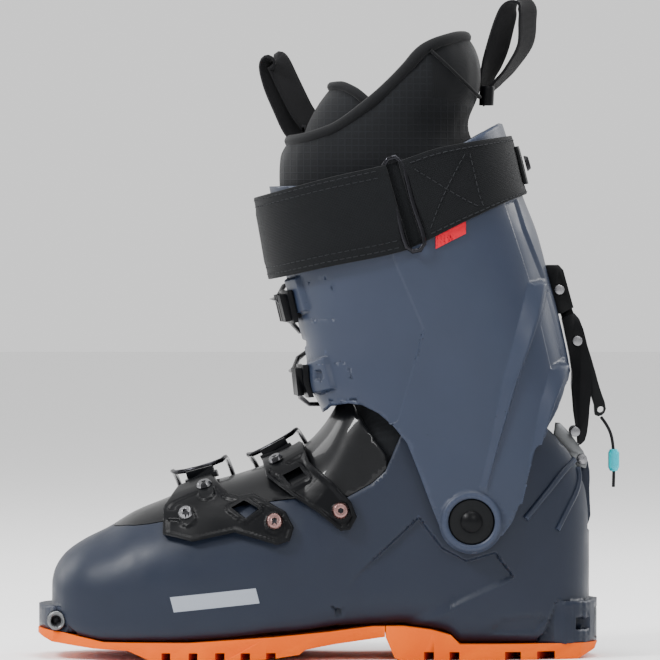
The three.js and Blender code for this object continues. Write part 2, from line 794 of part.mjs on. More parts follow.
function cuffKeep() {
  const shape = new THREE.Shape();
  const raised = (points) => points.map(([x, z]) => [x, up(z)]);
  const front = raised(cuff_front_edge);
  shape.moveTo(-130, front[0][1]);
  shape.lineTo(-130, front[1][1]);
  front.slice(1).forEach(([x, z], i) => shape.lineTo(x - (i < 1 ? 30 : 0.4), z));
  raised(cuff_arch).forEach(([x, z]) => shape.lineTo(x, z));
  const start = THREE.MathUtils.degToRad(185);
  const end = THREE.MathUtils.degToRad(335);
  shape.absarc(pivot[0], pivot[1], wing_radius, start, end, false);
  raised(cuff_rear_edge).forEach(([x, z]) => shape.lineTo(x, z));
  raised(cuff_top_line).forEach(([x, z]) => shape.lineTo(x, z));
  return slab(shape, -90, 90, 8);
}

const slit_width = 2.2;
function cuffShell() {
  let cuff = cuffForm(0).subtract(cuffForm(-cuff_wall)).intersect(cuffKeep());
  // The front opening, where the two flaps meet on the lateral side of the shin.
  const slit = new THREE.BoxGeometry(60, slit_width, 240);
  slit.rotateY(-0.16);
  slit.translate(-112, 17, up(210));
  cuff = cuff.subtract(solidOf(slit));
  cuff = cuff.subtract(disc(0, ankle_height, pivot_disc_radius + gap, -70, 70, 32));
  // Raised rings round the two pivots.
  const face = tableAt(cuff_rows, ankle_height)[3];
  for (const side of [-1, 1]) {
    const at = side > 0 ? [face - 2, face + 1.2] : [-face - 1.2, -face + 2];
    const bore = disc(0, ankle_height, pivot_disc_radius + gap, -90, 90, 32);
    cuff = cuff.add(disc(0, ankle_height, 16.4, ...at, 32).subtract(bore));
  }
  // The two blocks that back the ladders.
  for (const [low, high, near, far] of cuff_blocks) {
    const block = cuffForm(gap + 2).subtract(cuffForm(-1)).intersect(slab(polygon([
      [near + 2.6, up(low)],
      [near - 2.6, up(high)],
      [far - 2.6, up(high) + 2],
      [far + 2.6, up(low) + 1],
    ]), -70, -8));
    cuff = cuff.add(block.subtract(solidOf(slit)));
  }
  return cuff;
}
// Low, high, and the front and back limits of each ladder block.
const cuff_blocks = [
  [140.5, 160.5, -80, -65],
  [185, 205, -89, -74],
];

function pivotDisc(side) {
  const face = tableAt(cuff_rows, ankle_height)[3];
  const span = side > 0 ? [ankle_half + gap, face + 0.6] : [-face - 0.6, -ankle_half - gap];
  return disc(0, ankle_height, pivot_disc_radius, ...span, 32).subtract(
    disc(0, ankle_height, pivot_bolt_radius + gap, -90, 90, 20),
  );
}

function pivotBolt(side) {
  const face = tableAt(cuff_rows, ankle_height)[3] + 0.6 + gap;
  const tip = ankle_half - shell_wall + 0.6;
  const shank = side > 0 ? [tip, face + 0.3] : [-face - 0.3, -tip];
  const cap = new THREE.SphereGeometry(9, 20, 10);
  cap.translate(0, side * (face - 6.6), ankle_height);
  const across = side > 0 ? [face, face + 20] : [-face - 20, -face];
  const beyond = box(-20, 20, ...across, 50, 100);
  return disc(0, ankle_height, pivot_bolt_radius, ...shank, 20).add(solidOf(cap).intersect(beyond));
}

// ---------- lock arm at the heel ----------
const arm_pin = [48.8, 200.8]; // top pin, in the cuff's housing
const lever_pin = [58.6, 172.8];
const hook_pin = [57.4, 123.2];
const cheek_in = 9.6;
const cheek_out = 12.6;
const raise = ([x, z]) => [x, up(z)];

function lockHousing() {
  const outline = [
    [30, 213],
    [42.5, 214.2],
    [48.5, 214.2],
    [51, 211.5],
    [56.6, 191],
    [50, 187.6],
    [40, 187.6],
  ].map(raise);
  const inner = [
    [40, 205],
    [80, 205],
    [80, 170],
    [40, 170],
  ].map(raise);
  let housing = slab(polygon(outline), -10, 10)
    .subtract(slab(polygon(inner), -6.4, 6.4))
    .subtract(disc(arm_pin[0], up(arm_pin[1]), 5, -6.4, 6.4, 20));
  const bore = disc(arm_pin[0], up(arm_pin[1]), pin_radius + 0.3, -20, 20, 12);
  return housing.subtract(cuffForm(gap)).subtract(bore);
}

function lockArm() {
  const outline = curved([
    [50.4, 184.8],
    [57.4, 187.8],
    [62.6, 177],
    [65.6, 160],
    [66.4, 147],
    [65.4, 137],
    [64.6, 127],
    [62.6, 118],
    [57.4, 115.4],
    [52.2, 118.4],
    [51.6, 127],
    [54.6, 142],
    [56, 155],
    [53.6, 170],
  ].map(raise));
  const tongue = polygon([
    [51.4, 182],
    [59, 182],
    [52, arm_pin[1]],
    [arm_pin[0], arm_pin[1]],
    [arm_pin[0] - 2.4, arm_pin[1] - 2],
  ].map(raise));
  const web = [
    [50, 190],
    [55.8, 190],
    [56.4, 183],
    [53.8, 176],
    [53.8, 169],
    [56.4, 156],
    [56, 145],
    [48, 145],
  ].map(raise);
  let body = slab(outline, -cheek_out, cheek_out, 2).subtract(slab(polygon([
    [30, 100],
    [30, 240],
    [90, 240],
    [90, 100],
  ]), -cheek_in, cheek_in));
  const web_slab = slab(polygon(web), -cheek_in, cheek_in);
  body = body.add(slab(outline, -cheek_out, cheek_out, 2).intersect(web_slab));
  body = body.add(slab(tongue, -6, 6, 2)).add(disc(arm_pin[0], up(arm_pin[1]), 3.2, -6, 6, 20));
  body = body
    .subtract(disc(arm_pin[0], up(arm_pin[1]), pin_radius + 0.3, -20, 20, 12))
    .subtract(disc(lever_pin[0], up(lever_pin[1]), pin_radius + 0.3, -20, 20, 12))
    .subtract(cuffForm(gap));
  return body.subtract(disc(hook_pin[0], up(hook_pin[1]), pin_radius + 0.3, -20, 20, 12));
}

// A rivet along Y: a shank between two places and a low head on each end.
function rivet([x, z], half, head_radius, head_height) {
  let made = disc(x, z, pin_radius, -half - gap - 0.1, half + gap + 0.1, 8);
  for (const side of [-1, 1]) {
    const [near, far] = [half + gap, half + gap + head_height].map((y) => side * y);
    made = made.add(disc(x, z, head_radius, Math.min(near, far), Math.max(near, far), 12));
  }
  return made;
}

function releaseLever() {
  const outline = curved([
    [58.6, 176.4],
    [62.4, 175],
    [67.4, 160],
    [71, 147],
    [74.4, 136.6],
    [72.4, 132.2],
    [68.6, 132],
    [68, 138],
    [63.2, 152],
    [59.2, 162],
    [58.6, 168.6],
    [56.9, 171],
    [56.8, 174.6],
  ].map(raise));
  let lever = slab(outline, -8.8, 8.8, 2);
  lever = lever.subtract(disc(lever_pin[0], up(lever_pin[1]), pin_radius + 0.3, -20, 20, 12));
  // The eye that the pull cord is tied through.
  return lever.subtract(disc(cord_eye[0], up(cord_eye[1]), 1.9, -20, 20, 10));
}
const cord_eye = [71.6, 135];

function heelCatch() {
  const outline = polygon([
    [47, 127.6],
    [49.6, 127.5],
    [54.8, 122.2],
    [57.4, 118.6],
    [62, 112.4],
    [64.4, 106.6],
    [63.4, 103],
    [58.6, 104],
    [52, 113],
    [46, 120],
  ]);
  const between = box(40, 70, -spine_half - gap, spine_half + gap, 90, 123.4);
  return slab(outline, -catch_half, catch_half)
    .subtract(between).subtract(disc(...catch_pivot, pin_radius + 0.3, -20, 20, 12));
}

// ---------- inner boot ----------
const liner_top_radius = 87.5; // where the foot half meets the shaft half
const board_thickness = 7;
const floor_thickness = 8;
const board_base = floor_thickness + gap;
const liner_base = board_base + board_thickness + gap;
const footbed_base = liner_base + 4.5 + gap;

function bootBoard() {
  return clogForm(-shell_wall - gap, board_base)
    .subtract(clogForm(-1, board_base + board_thickness))
    .intersect(box(fore(17), 50, -60, 60, 0, 60));
}

// The way in for the leg, through the top of the inner boot's foot.
function legOpening() {
  const [front, rear, half] = [-62, 16, ankle_width / 2 - 15];
  return ovalForm(
    [
      [ankle_height + 28, front, rear, half, 3],
      [ankle_height + 120, front, rear, half, 3],
    ],
    0,
  );
}

function linerFoot() {
  const keep = new THREE.Shape();
  const corner = ringPoint(liner_top_radius, 140);
  keep.moveTo(toe_x - 10, -10);
  keep.lineTo(toe_x - 10, corner[1]);
  keep.lineTo(corner[0], corner[1]);
  const radians = THREE.MathUtils.degToRad;
  keep.absarc(pivot[0], pivot[1], liner_top_radius, radians(140), radians(-30), true);
  keep.lineTo(90, -10);
  return clogForm(-cover_thickness - gap, liner_base)
    .subtract(clogForm(-cover_thickness - gap - liner_wall, footbed_base - gap))
    .subtract(legOpening())
    .intersect(slab(keep, -90, 90, 12));
}

// Collar, bottom to top, drawn outside the padding.
const collar_rows = [
  ...cuff_rows.filter((row) => row[0] < up(250)).map(([z, front, rear, half, square]) => [
    z,
    front + cuff_wall + 0.8,
    rear - cuff_wall - 0.8,
    half - cuff_wall - 0.8,
    square,
  ]),
  ...[
    [256, -105.2, 20, 56, 2.4],
    [272, -105, 9, 55, 2.3],
    [284, -100, 0, 53.5, 2.3],
    [292, -97, -0.5, 52.5, 2.3],
    [302, -93, 4, 51.5, 2.3],
    [312, -88, 7.6, 50.5, 2.2],
    [325, -82, 7, 48.5, 2.2],
    [335, -76, 3, 46, 2.2],
    [342, -70, -3, 42, 2.2],
  ].map(([z, ...rest]) => [up(z), ...rest]),
];

function linerCuff() {
  const keep = new THREE.Shape();
  const inner_low = liner_top_radius + 1;
  const front_low = cover_top_radius + 1.8;
  const radians = THREE.MathUtils.degToRad;
  const arc = (radius, from, to) =>
    keep.absarc(pivot[0], pivot[1], radius, radians(from), radians(to), true);
  const first = ringPoint(front_low, 150);
  keep.moveTo(-130, first[1]);
  keep.lineTo(...first);
  arc(front_low, 150, 121);
  arc(inner_low, 121, 40);
  keep.lineTo(90, ringPoint(inner_low, 40)[1]);
  for (const [x, z] of [
    [90, 345],
    [-6, 339.4],
    [-15.7, 337],
    [-26, 332],
    [-36.4, 320.4],
    [-55.9, 302],
    [-76.7, 288.2],
    [-96, 283],
    [-130, 281],
  ]) keep.lineTo(x, up(z));
  return ovalForm(collar_rows, 0, 20).subtract(ovalForm([
    [collar_rows[0][0] - 5, ...collar_rows[0].slice(1)],
    ...collar_rows.slice(1, -1),
    [up(350), ...collar_rows[collar_rows.length - 1].slice(1)],
  ], -collar_wall)).intersect(slab(keep, -90, 90, 8));
}

function linerTongue() {
  const keep = [
    [-120, 196],
    [-72, 196],
    [-68, 290],
    [-66, 305],
    [-76.7, 311.5],
    [-87, 310.4],
    [-93, 303],
    [-120, 299],
  ].map(raise);
  const rows = collar_rows.map((row) => [...row]);
  return ovalForm(rows, -collar_wall - gap)
    .subtract(ovalForm(rows, -collar_wall - gap - 7))
    .intersect(slab(polygon(keep), -38, 38));
}

// A flat webbing loop: a ribbon swept along a closed path.
function ribbon(points, width, thickness, lean, steps) {
  const path = new THREE.CatmullRomCurve3(points, true, "centripetal");
  const rings = [];
  for (let i = 0; i < steps; i++) {
    const at = path.getPointAt(i / steps);
    const along = path.getTangentAt(i / steps);
    const wide = lean.clone().addScaledVector(along, -lean.dot(along)).normalize();
    const thin = new THREE.Vector3().crossVectors(along, wide);
    rings.push(
      [
        [1, 1],
        [-1, 1],
        [-1, -1],
        [1, -1],
      ].map(([a, b]) => {
        const edge = at.clone().addScaledVector(wide, (a * width) / 2);
        return edge.addScaledVector(thin, (b * thickness) / 2);
      }),
    );
  }
  const corners = [];
  rings.forEach((ring, i) => {
    const other = rings[(i + 1) % rings.length];
    for (let k = 0; k < 4; k++) {
      const next = (k + 1) % 4;
      corners.push(...ring[k].toArray(), ...other[k].toArray(), ...other[next].toArray());
      corners.push(...ring[k].toArray(), ...other[next].toArray(), ...ring[next].toArray());
    }
  });
  const solid = solidOf(geometryFrom(corners));
  if (solid.volume() > 0) return solid;
  for (let i = 0; i < corners.length; i += 9) {
    for (let k = 0; k < 3; k++) [corners[i + k], corners[i + 3 + k]] = [corners[i + 3 + k], corners[i + k]];
  }
  return solidOf(geometryFrom(corners));
}

const loopPoint = ([x, z, y = 0]) => new THREE.Vector3(x, y, up(z));
function rearLoop() {
  const path = [
    [10.4, 306],
    [10.8, 322],
    [13.2, 345],
    [19.5, 356.6],
    [28, 358],
    [35, 350],
    [33, 336],
    [24, 319],
    [14.4, 305],
    [12, 300],
  ];
  return ribbon(path.map(loopPoint), 14, 1.6, new THREE.Vector3(0.35, 1, 0), 30);
}

function frontLoop() {
  const path = [
    [-95.6, 287.6],
    [-102, 296],
    [-107, 309],
    [-110, 322],
    [-107.4, 326.4],
    [-103.4, 325],
    [-99.5, 314],
    [-94.8, 303.6],
    [-92.8, 296],
    [-93.2, 289],
  ];
  return ribbon(path.map(loopPoint), 14, 1.5, new THREE.Vector3(0.5, 1, 0.2), 26);
}

// ---------- power strap ----------
const strap_rows = cuff_rows
  .filter((row) => row[0] > up(180))
  .map(([z, front, rear, half, square]) => [z, front - 6.4, rear + 0.2, half + 0.2, square]);
const strapForm = (grow) => ovalForm(strap_rows, grow).add(cuffForm(gap + grow));
const strap_upper = [
  [-135, 246],
  [-76.7, 262.3],
  [-43.3, 269.9],
  [-16.8, 278.5],
  [22.3, 284.8],
  [45, 288],
];
const strap_lower = [
  [45, 256],
  [29.2, 252.6],
  [-1.9, 239.3],
  [-26, 227.3],
  [-36.4, 222.7],
  [-76.7, 214],
  [-109.2, 206.5],
  [-135, 201],
];
const ring_top = [-43.3, 271];
const ring_bottom = [-30, 224.5];
const ring_half = 4.6; // half the width between the ring's two long bars
const ring_wire = 1.5;

function strapPart(front) {
  const band = strapForm(strap_thickness)
    .subtract(strapForm(0))
    .intersect(slab(polygon([...strap_upper, ...strap_lower].map(raise)), -90, 90));
  const clear = (ring_half + ring_wire) * 1.06 + 2 * gap;
  const side = front ? -1 : 1;
  const [a, b] = [ring_top, ring_bottom].map(([x, z]) => [x + side * clear, up(z)]);
  const slope = (b[0] - a[0]) / (b[1] - a[1]);
  const at = (z) => a[0] + slope * (z - a[1]);
  const far = side * 200;
  const keep = [
    [at(100), 100],
    [at(400), 400],
    [at(400) + far, 400],
    [at(100) + far, 100],
  ];
  return band.intersect(slab(polygon(keep), -90, 90));
}

function strapRing() {
  const z_mid = (up(ring_top[1]) + up(ring_bottom[1])) / 2;
  const x_mid = (ring_top[0] + ring_bottom[0]) / 2;
  const half = tableAt(cuff_rows, z_mid)[3];
  const long = new THREE.Vector3(ring_bottom[0] - ring_top[0], 0, up(ring_bottom[1]) - up(ring_top[1]));
  const reach = long.length() / 2 + 1.8;
  long.normalize();
  const wide = new THREE.Vector3(-long.z, 0, long.x);
  const centre = new THREE.Vector3(x_mid, -half - 2.5, z_mid);
  const corner = 2.6;
  const points = [
    [1, reach - corner],
    [1 - corner / ring_half, reach],
    [-1 + corner / ring_half, reach],
    [-1, reach - corner],
    [-1, 0],
    [-1, -reach + corner],
    [-1 + corner / ring_half, -reach],
    [1 - corner / ring_half, -reach],
    [1, -reach + corner],
    [1, 0],
  ].map(([w, l]) => centre.clone().addScaledVector(wide, w * ring_half).addScaledVector(long, l));
  const path = new THREE.CatmullRomCurve3(points, true, "centripetal");
  return closedSweep(path, ring_wire, 28, 6);
}

// A round wire along a closed path.
function closedSweep(path, radius, steps, sides) {
  const frames = path.computeFrenetFrames(steps, true);
  const corners = [];
  const ring = (i) =>
    Array.from({ length: sides }, (_, k) => {
      const a = (2 * Math.PI * k) / sides;
      return path
        .getPointAt((i % steps) / steps)
        .addScaledVector(frames.normals[i % steps], radius * Math.cos(a))
        .addScaledVector(frames.binormals[i % steps], radius * Math.sin(a));
    });
  for (let i = 0; i < steps; i++) {
    const [here, there] = [ring(i), ring(i + 1)];
    for (let k = 0; k < sides; k++) {
      const next = (k + 1) % sides;
      corners.push(...here[k].toArray(), ...there[next].toArray(), ...there[k].toArray());
      corners.push(...here[k].toArray(), ...here[next].toArray(), ...there[next].toArray());
    }
  }
  return solidOf(geometryFrom(corners));
}

function strapTab() {
  const outline = [
    [-19.6, 234.6],
    [-3.8, 241.4],
    [-3.8, 231.8],
    [-19.6, 223.6],
  ].map(raise);
  return cuffForm(1.6)
    .subtract(cuffForm(gap))
    .intersect(slab(polygon(outline), -90, -20))
    .subtract(slab(polygon([...strap_upper, ...strap_lower].map(raise)), -90, 90));
}

function strapPlate() {
  const outline = [
    [10, 277],
    [60, 284],
    [60, 262],
    [10, 256],
  ].map(raise);
  return strapForm(strap_thickness + gap + 2)
    .subtract(strapForm(strap_thickness + gap))
    .intersect(slab(polygon(outline), -16, 16))
    .intersect(box(0, 80, -16, 16, 200, 400));
}

function strapScrew() {
  const x = tableAt(cuff_rows, up(270))[2] + 0.2 + strap_thickness + gap + 2;
  const head = new THREE.CylinderGeometry(3.4, 4.6, 2.4, 16).rotateZ(-Math.PI / 2);
  head.rotateY(-0.27);
  head.translate(x + 2.4, 0, up(270));
  return solidOf(head);
}

// ---------- pull cord ----------
const cord_route = [
  [71.9, 130.9, 0],
  [74.6, 127.4, 0],
  [77.4, 122.2, 0],
  [78.5, 116.6, 0],
  [78.9, 110.5, 0],
  [79, 104.4, 0],
  [79, 98.2, 0],
  [78.8, 92.4, 0],
];
const bead = { x: 78.95, z: 107.2, radius: 3.1, half: 6 };

function pullCord() {
  const points = cord_route.map(([x, z, y]) => new THREE.Vector3(x, y, z + up(135) - 135));
  return tube(points, cord_radius, 8, 11);
}

function cordBead() {
  const profile = [
    [cord_radius + 0.3, -bead.half],
    [bead.radius - 1, -bead.half],
    [bead.radius, -bead.half + 2],
    [bead.radius, bead.half - 2],
    [bead.radius - 1, bead.half],
    [cord_radius + 0.3, bead.half],
    [cord_radius + 0.3, -bead.half],
  ].map(point2);
  const geometry = new THREE.LatheGeometry(profile, 12);
  geometry.rotateX(Math.PI / 2);
  geometry.translate(bead.x, 0, bead.z + up(135) - 135);
  return solidOf(geometry);
}

// ---------- finishes ----------
const finish = (color, roughness, metalness = 0) =>
  new THREE.MeshStandardMaterial({ color, roughness, metalness });
const navy = finish("#44506a", 0.5);
const black_plastic = finish("#17181b", 0.38);
const soft_black = finish("#202226", 0.8);
const fabric = finish("#26282b", 0.95);
const orange_rubber = finish("#f0832a", 0.8);
const steel = finish("#b9bcc0", 0.3, 1);
const dark_steel = finish("#3a3c40", 0.4, 1);
const red_fabric = finish("#d0303a", 0.9);
const turquoise = finish("#36b6bd", 0.45);
const board = finish("#5a5d62", 0.8);

// ---------- the boot ----------
const boot = new THREE.Group();
const shell_group = new THREE.Group();
const cuff_group = new THREE.Group();
const lock_group = new THREE.Group();
boot.add(shell_group, cuff_group, lock_group);

function addPiece(group, name, solid, material) {
  const mesh = new THREE.Mesh(geometryOf(solid), material);
  mesh.name = name;
  group.add(mesh);
}

addPiece(shell_group, "lower_shell", lowerShell(), navy);
addPiece(shell_group, "forefoot_outsole", outsole(true), orange_rubber);
addPiece(shell_group, "heel_outsole", outsole(false), orange_rubber);
addPiece(shell_group, "toe_fitting", toeFitting(0), steel);
addPiece(shell_group, "heel_fitting", heelFitting(0), steel);
addPiece(shell_group, "boot_board", bootBoard(), board);
addPiece(shell_group, "throat_cover", throatCover(), soft_black);
addPiece(shell_group, "liner_foot", linerFoot(), fabric);
addPiece(shell_group, "heel_catch", heelCatch(), steel);
addPiece(shell_group, "catch_rivet", rivet(catch_pivot, catch_half, 2.9, 0.7), steel);

const clog_screws = [
  ["forefoot_arm_screw", forefoot_anchor, 4.9, -3.6],
  ["instep_arm_screw", instep_anchor, 4.9, -3.6],
  ["forefoot_front_screw", forefoot_screws[0], 4.5, 1.2],
  ["forefoot_rear_screw", forefoot_screws[1], 4.5, 1.2],
  ["instep_top_screw", instep_screws[0], 4.3, 1.2],
];
for (const [name, frame, head, depth] of clog_screws) {
  addPiece(shell_group, name, screwSolid(frame, 1.8, head, depth, arm_high + 0.4, 2), steel);
}

const buckles = {
  forefoot: buckle(clogStrip(fore(90), 16), 0.72, 0.12, 1.5, clogSkin),
  instep: buckle(clogStrip(fore(132), 22), 0.8, 0.2, 1.4, clogSkin),
};
const cuffSkin = (low, high) => cuffForm(high).subtract(cuffForm(low));
buckles.lower_cuff = buckle(cuffStrip(up(151.5), 0), 0.62, 0.05, 1.72, cuffSkin);
buckles.upper_cuff = buckle(cuffStrip(up(192.5), 0), 0.66, 0.05, 1.74, cuffSkin);

const fore_ladder = buckles.forefoot.ladder;
const instep_ladder = buckles.instep.ladder;
const forefoot_plate = arm(forefoot_outline, forefoot_window, [forefoot_anchor, ...forefoot_screws]);
const instep_plate = arm(instep_outline, instep_window, [instep_anchor, ...instep_screws]);
addPiece(shell_group, "forefoot_arm", forefoot_plate.subtract(grown(fore_ladder)), black_plastic);
addPiece(shell_group, "instep_arm", instep_plate.subtract(grown(instep_ladder)), black_plastic);

// A ladder's neighbour keeps off it by the gap, tested by moving the ladder a little each way.
function grown(solid) {
  let made = solid;
  for (const [x, y, z] of [
    [gap, 0, 0],
    [-gap, 0, 0],
    [0, gap, 0],
    [0, -gap, 0],
    [0, 0, gap],
    [0, 0, -gap],
  ]) made = made.add(solid.translate([x, y, z]));
  return made;
}

for (const [name, made] of Object.entries(buckles)) {
  const group = name.endsWith("cuff") ? cuff_group : shell_group;
  addPiece(group, `${name}_buckle_base`, made.base, black_plastic);
  addPiece(group, `${name}_buckle_pin`, made.pin, steel);
  addPiece(group, `${name}_lever`, made.lever, black_plastic);
  addPiece(group, `${name}_bail`, made.bail, dark_steel);
  addPiece(group, `${name}_ladder`, made.ladder, black_plastic);
}

addPiece(cuff_group, "cuff_shell", cuffShell(), navy);
for (const [name, side] of [
  ["medial", -1],
  ["lateral", 1],
]) {
  addPiece(cuff_group, `pivot_disc_${name}`, pivotDisc(side), black_plastic);
  addPiece(cuff_group, `pivot_bolt_${name}`, pivotBolt(side), black_plastic);
}
addPiece(cuff_group, "liner_cuff", linerCuff(), fabric);
addPiece(cuff_group, "liner_tongue", linerTongue(), fabric);
addPiece(cuff_group, "rear_pull_loop", rearLoop(), fabric);
addPiece(cuff_group, "front_pull_loop", frontLoop(), fabric);
addPiece(cuff_group, "strap_front", strapPart(true), fabric);
addPiece(cuff_group, "strap_rear", strapPart(false), fabric);
addPiece(cuff_group, "strap_ring", strapRing(), dark_steel);
addPiece(cuff_group, "strap_tab", strapTab(), red_fabric);
addPiece(cuff_group, "strap_plate", strapPlate(), black_plastic);
addPiece(cuff_group, "strap_screw", strapScrew(), black_plastic);
addPiece(cuff_group, "lock_housing", lockHousing(), black_plastic);
addPiece(cuff_group, "arm_pin", rivet(raise(arm_pin), 10.1, 2.8, 1.2), steel);

addPiece(lock_group, "lock_arm", lockArm(), black_plastic);
addPiece(lock_group, "lever_pin", rivet(raise(lever_pin), cheek_out + 0.1, 2.8, 1.2), steel);
addPiece(lock_group, "hook_pin", rivet(raise(hook_pin), cheek_out + 0.1, 2.8, 1.2), steel);
addPiece(lock_group, "release_lever", releaseLever(), black_plastic);
addPiece(lock_group, "pull_cord", pullCord(), fabric);
addPiece(lock_group, "cord_bead", cordBead(), turquoise);


export default boot;
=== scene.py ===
"""An alpine touring ski boot: the looks of every piece, laid out as a Blender add-on."""

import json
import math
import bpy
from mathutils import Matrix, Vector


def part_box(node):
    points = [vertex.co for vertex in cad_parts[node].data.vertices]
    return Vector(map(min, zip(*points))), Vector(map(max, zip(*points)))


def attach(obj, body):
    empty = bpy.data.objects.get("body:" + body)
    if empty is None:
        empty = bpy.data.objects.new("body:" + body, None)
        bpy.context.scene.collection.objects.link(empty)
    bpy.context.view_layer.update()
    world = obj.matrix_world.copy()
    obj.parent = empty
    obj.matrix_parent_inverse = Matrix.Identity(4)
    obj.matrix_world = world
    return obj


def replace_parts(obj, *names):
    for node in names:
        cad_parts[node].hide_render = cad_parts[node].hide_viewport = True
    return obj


bl_info = {
    "name": "Touring ski boot",
    "version": (1, 0, 0),
    "blender": (4, 5, 0),
    "location": "View3D > Sidebar > Ski boot",
    "description": "Builds the finished pieces and materials of a buckled touring ski boot",
    "category": "Object",
}

import bmesh
import bpy
import numpy as np
from bpy.props import FloatProperty, FloatVectorProperty, PointerProperty
from mathutils import Vector

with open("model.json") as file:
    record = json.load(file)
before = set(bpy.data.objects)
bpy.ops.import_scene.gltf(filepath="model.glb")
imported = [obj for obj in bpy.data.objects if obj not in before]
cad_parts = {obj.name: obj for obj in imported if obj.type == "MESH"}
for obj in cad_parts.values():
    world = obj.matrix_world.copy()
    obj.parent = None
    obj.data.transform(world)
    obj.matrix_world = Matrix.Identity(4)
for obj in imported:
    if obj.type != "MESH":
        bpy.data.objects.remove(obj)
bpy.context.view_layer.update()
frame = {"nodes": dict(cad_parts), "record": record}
MM = 0.001
BODY_OF = {
    node: body
    for body, nodes in frame["record"]["behaviour"]["bodies"].items()
    for node in nodes
}
MATERIALS = {}
SIDES = ((-1, "inner"), (1, "outer"))
WELD = 0.00001
FAR = 1e9

# ---------- forms, in millimetres ----------
# Clog: place along the boot, half-width, bottom, top, height of the widest line as a share.
CLOG_ROWS = np.array([
    (-228.8, 9, 22, 42, 0.45),
    (-227.8, 19, 19, 46.5, 0.45),
    (-225.2, 28, 17, 52, 0.44),
    (-220.6, 36, 14.5, 57.5, 0.42),
    (-211.2, 44, 12, 64, 0.4),
    (-198.2, 50, 9.8, 70.5, 0.38),
    (-183.2, 54, 9.6, 79.5, 0.36),
    (-166.2, 56.3, 9.6, 86.5, 0.34),
    (-148.2, 57, 10.2, 94, 0.33),
    (-126.2, 56.4, 12, 100, 0.33),
    (-106.2, 54.4, 14.5, 107.2, 0.33),
    (-90.2, 51.7, 15.6, 116, 0.34),
    (-80, 49.6, 17, 126.5, 0.35),
    (-67, 47.6, 18.2, 147, 0.36),
    (-55, 46.4, 18.4, 160, 0.37),
    (-38, 46, 18.4, 168, 0.38),
    (-14, 46, 14.5, 168, 0.38),
    (-5, 46, 8.7, 168, 0.38),
    (15, 45, 8.7, 168, 0.38),
    (27, 43, 8.7, 152, 0.38),
    (38, 39.4, 8.7, 136, 0.38),
    (49, 33.6, 8.7, 125, 0.38),
    (56, 28, 9, 116, 0.4),
    (61, 21.5, 10, 104, 0.42),
    (64, 14, 12, 92, 0.45),
    (65.3, 6, 18, 80, 0.5),
])
# Squareness of the clog's sections: above the widest line at the ankle, and of its lower walls.
ANKLE_POWER, WALL_POWER = 3.6, 9.0
# Cuff: height, front, rear, half-width, squareness.
CUFF_ROWS = np.array([
    (54, -62, 60, 53, 4),
    (76, -68, 60, 53, 4),
    (100, -74, 60, 53.4, 4),
    (120, -79, 59, 53.6, 4),
    (134, -81.5, 57, 54, 3.8),
    (150, -88.5, 55.8, 54.59, 3.4),
    (164, -90.2, 53.6, 55.37, 3.1),
    (186, -95.6, 48.8, 57.1, 2.8),
    (206, -100.7, 43.6, 58.71, 2.6),
    (231, -105.2, 37, 60.56, 2.5),
    (256, -109.7, 27.6, 62, 2.45),
    (276, -113, 22.6, 62.7, 2.45),
    (300, -116.5, 15, 63.3, 2.45),
])
# Inner boot's shaft, drawn outside its padding.
COLLAR_ROWS = np.array(
    [(z, a + 4.8, b - 4.8, h - 4.8, n) for z, a, b, h, n in CUFF_ROWS if z < 250]
    + [
        (256, -105.2, 20, 56, 2.4),
        (272, -105, 9, 55, 2.3),
        (284, -100, 0, 53.5, 2.3),
        (292, -97, -0.5, 52.5, 2.3),
        (302, -93, 4, 51.5, 2.3),
        (312, -88, 7.6, 50.5, 2.2),
        (325, -82, 7, 48.5, 2.2),
        (335, -76, 3, 46, 2.2),
        (342, -70, -3, 42, 2.2),
    ]
)
COLLAR_TOP = [(-130, 281), (-96, 283), (-76.7, 288.2), (-55.9, 302), (-36.4, 320.4),
              (-26, 332), (-15.7, 337), (-6, 339.4), (60, 341)]
COLLAR_SEAM = [(-22, 331), (-17, 326.5), (-10, 320), (-3, 313.5), (3, 308), (6.2, 305.5)]
TONGUE_TOP = [(-102, 292), (-96, 300), (-90, 306.5), (-82, 311.5), (-75, 312), (-66, 309),
              (-57, 303), (-40, 296)]
STRAP_UPPER = [(-135, 246), (-76.7, 262.3), (-43.3, 269.9), (-16.8, 278.5), (22.3, 284.8),
               (45, 288)]
STRAP_LOWER = [(-135, 201), (-109.2, 206.5), (-76.7, 214), (-36.4, 222.7), (-26, 227.3),
               (-1.9, 239.3), (29.2, 252.6), (45, 256)]
RING_TOP = (-43.3, 271)
RING_BOTTOM = (-30, 224.5)
CORD_ROUTE = [(71.9, 130.9), (74.6, 127.4), (77.4, 122.2), (78.5, 116.6), (78.9, 110.5),
              (79, 104.4), (79, 98.2), (78.8, 92.4)]
# Loops: x, height, and how much the webbing's width leans towards the toe-heel line.
REAR_LOOP = [(8.6, 306.5, 0.3), (9.1, 315.8, 0.5), (11.9, 324, 0.72), (15.1, 333.3, 0.8),
             (19, 347, 0.75), (22.2, 355.2, 0.65), (27.2, 358, 0.6), (31.3, 354.6, 0.6),
             (31.5, 348, 0.6), (30.2, 335, 0.55), (22.2, 321.8, 0.45), (15.1, 314, 0.4),
             (10.8, 309.3, 0.3), (8.9, 303, 0.3)]
FRONT_LOOP = [(-86.5, 289.6, 0.75), (-92.5, 299.4, 0.78), (-99.6, 313.6, 0.8),
              (-104.6, 324, 0.8), (-107.2, 326.2, 0.8), (-109, 323, 0.8), (-106.6, 313, 0.8),
              (-101.6, 301, 0.8), (-96, 289, 0.78), (-91, 285.5, 0.75)]
LOOP_WIDTH = 15.5
LOOP_THICKNESS = 0.0015
# Lengths that edges are cut down to, and the angle past which an edge stays sharp.
SHELL_EDGE, COVER_EDGE, ARM_EDGE = 0.0036, 0.004, 0.0016
SHARP = 38
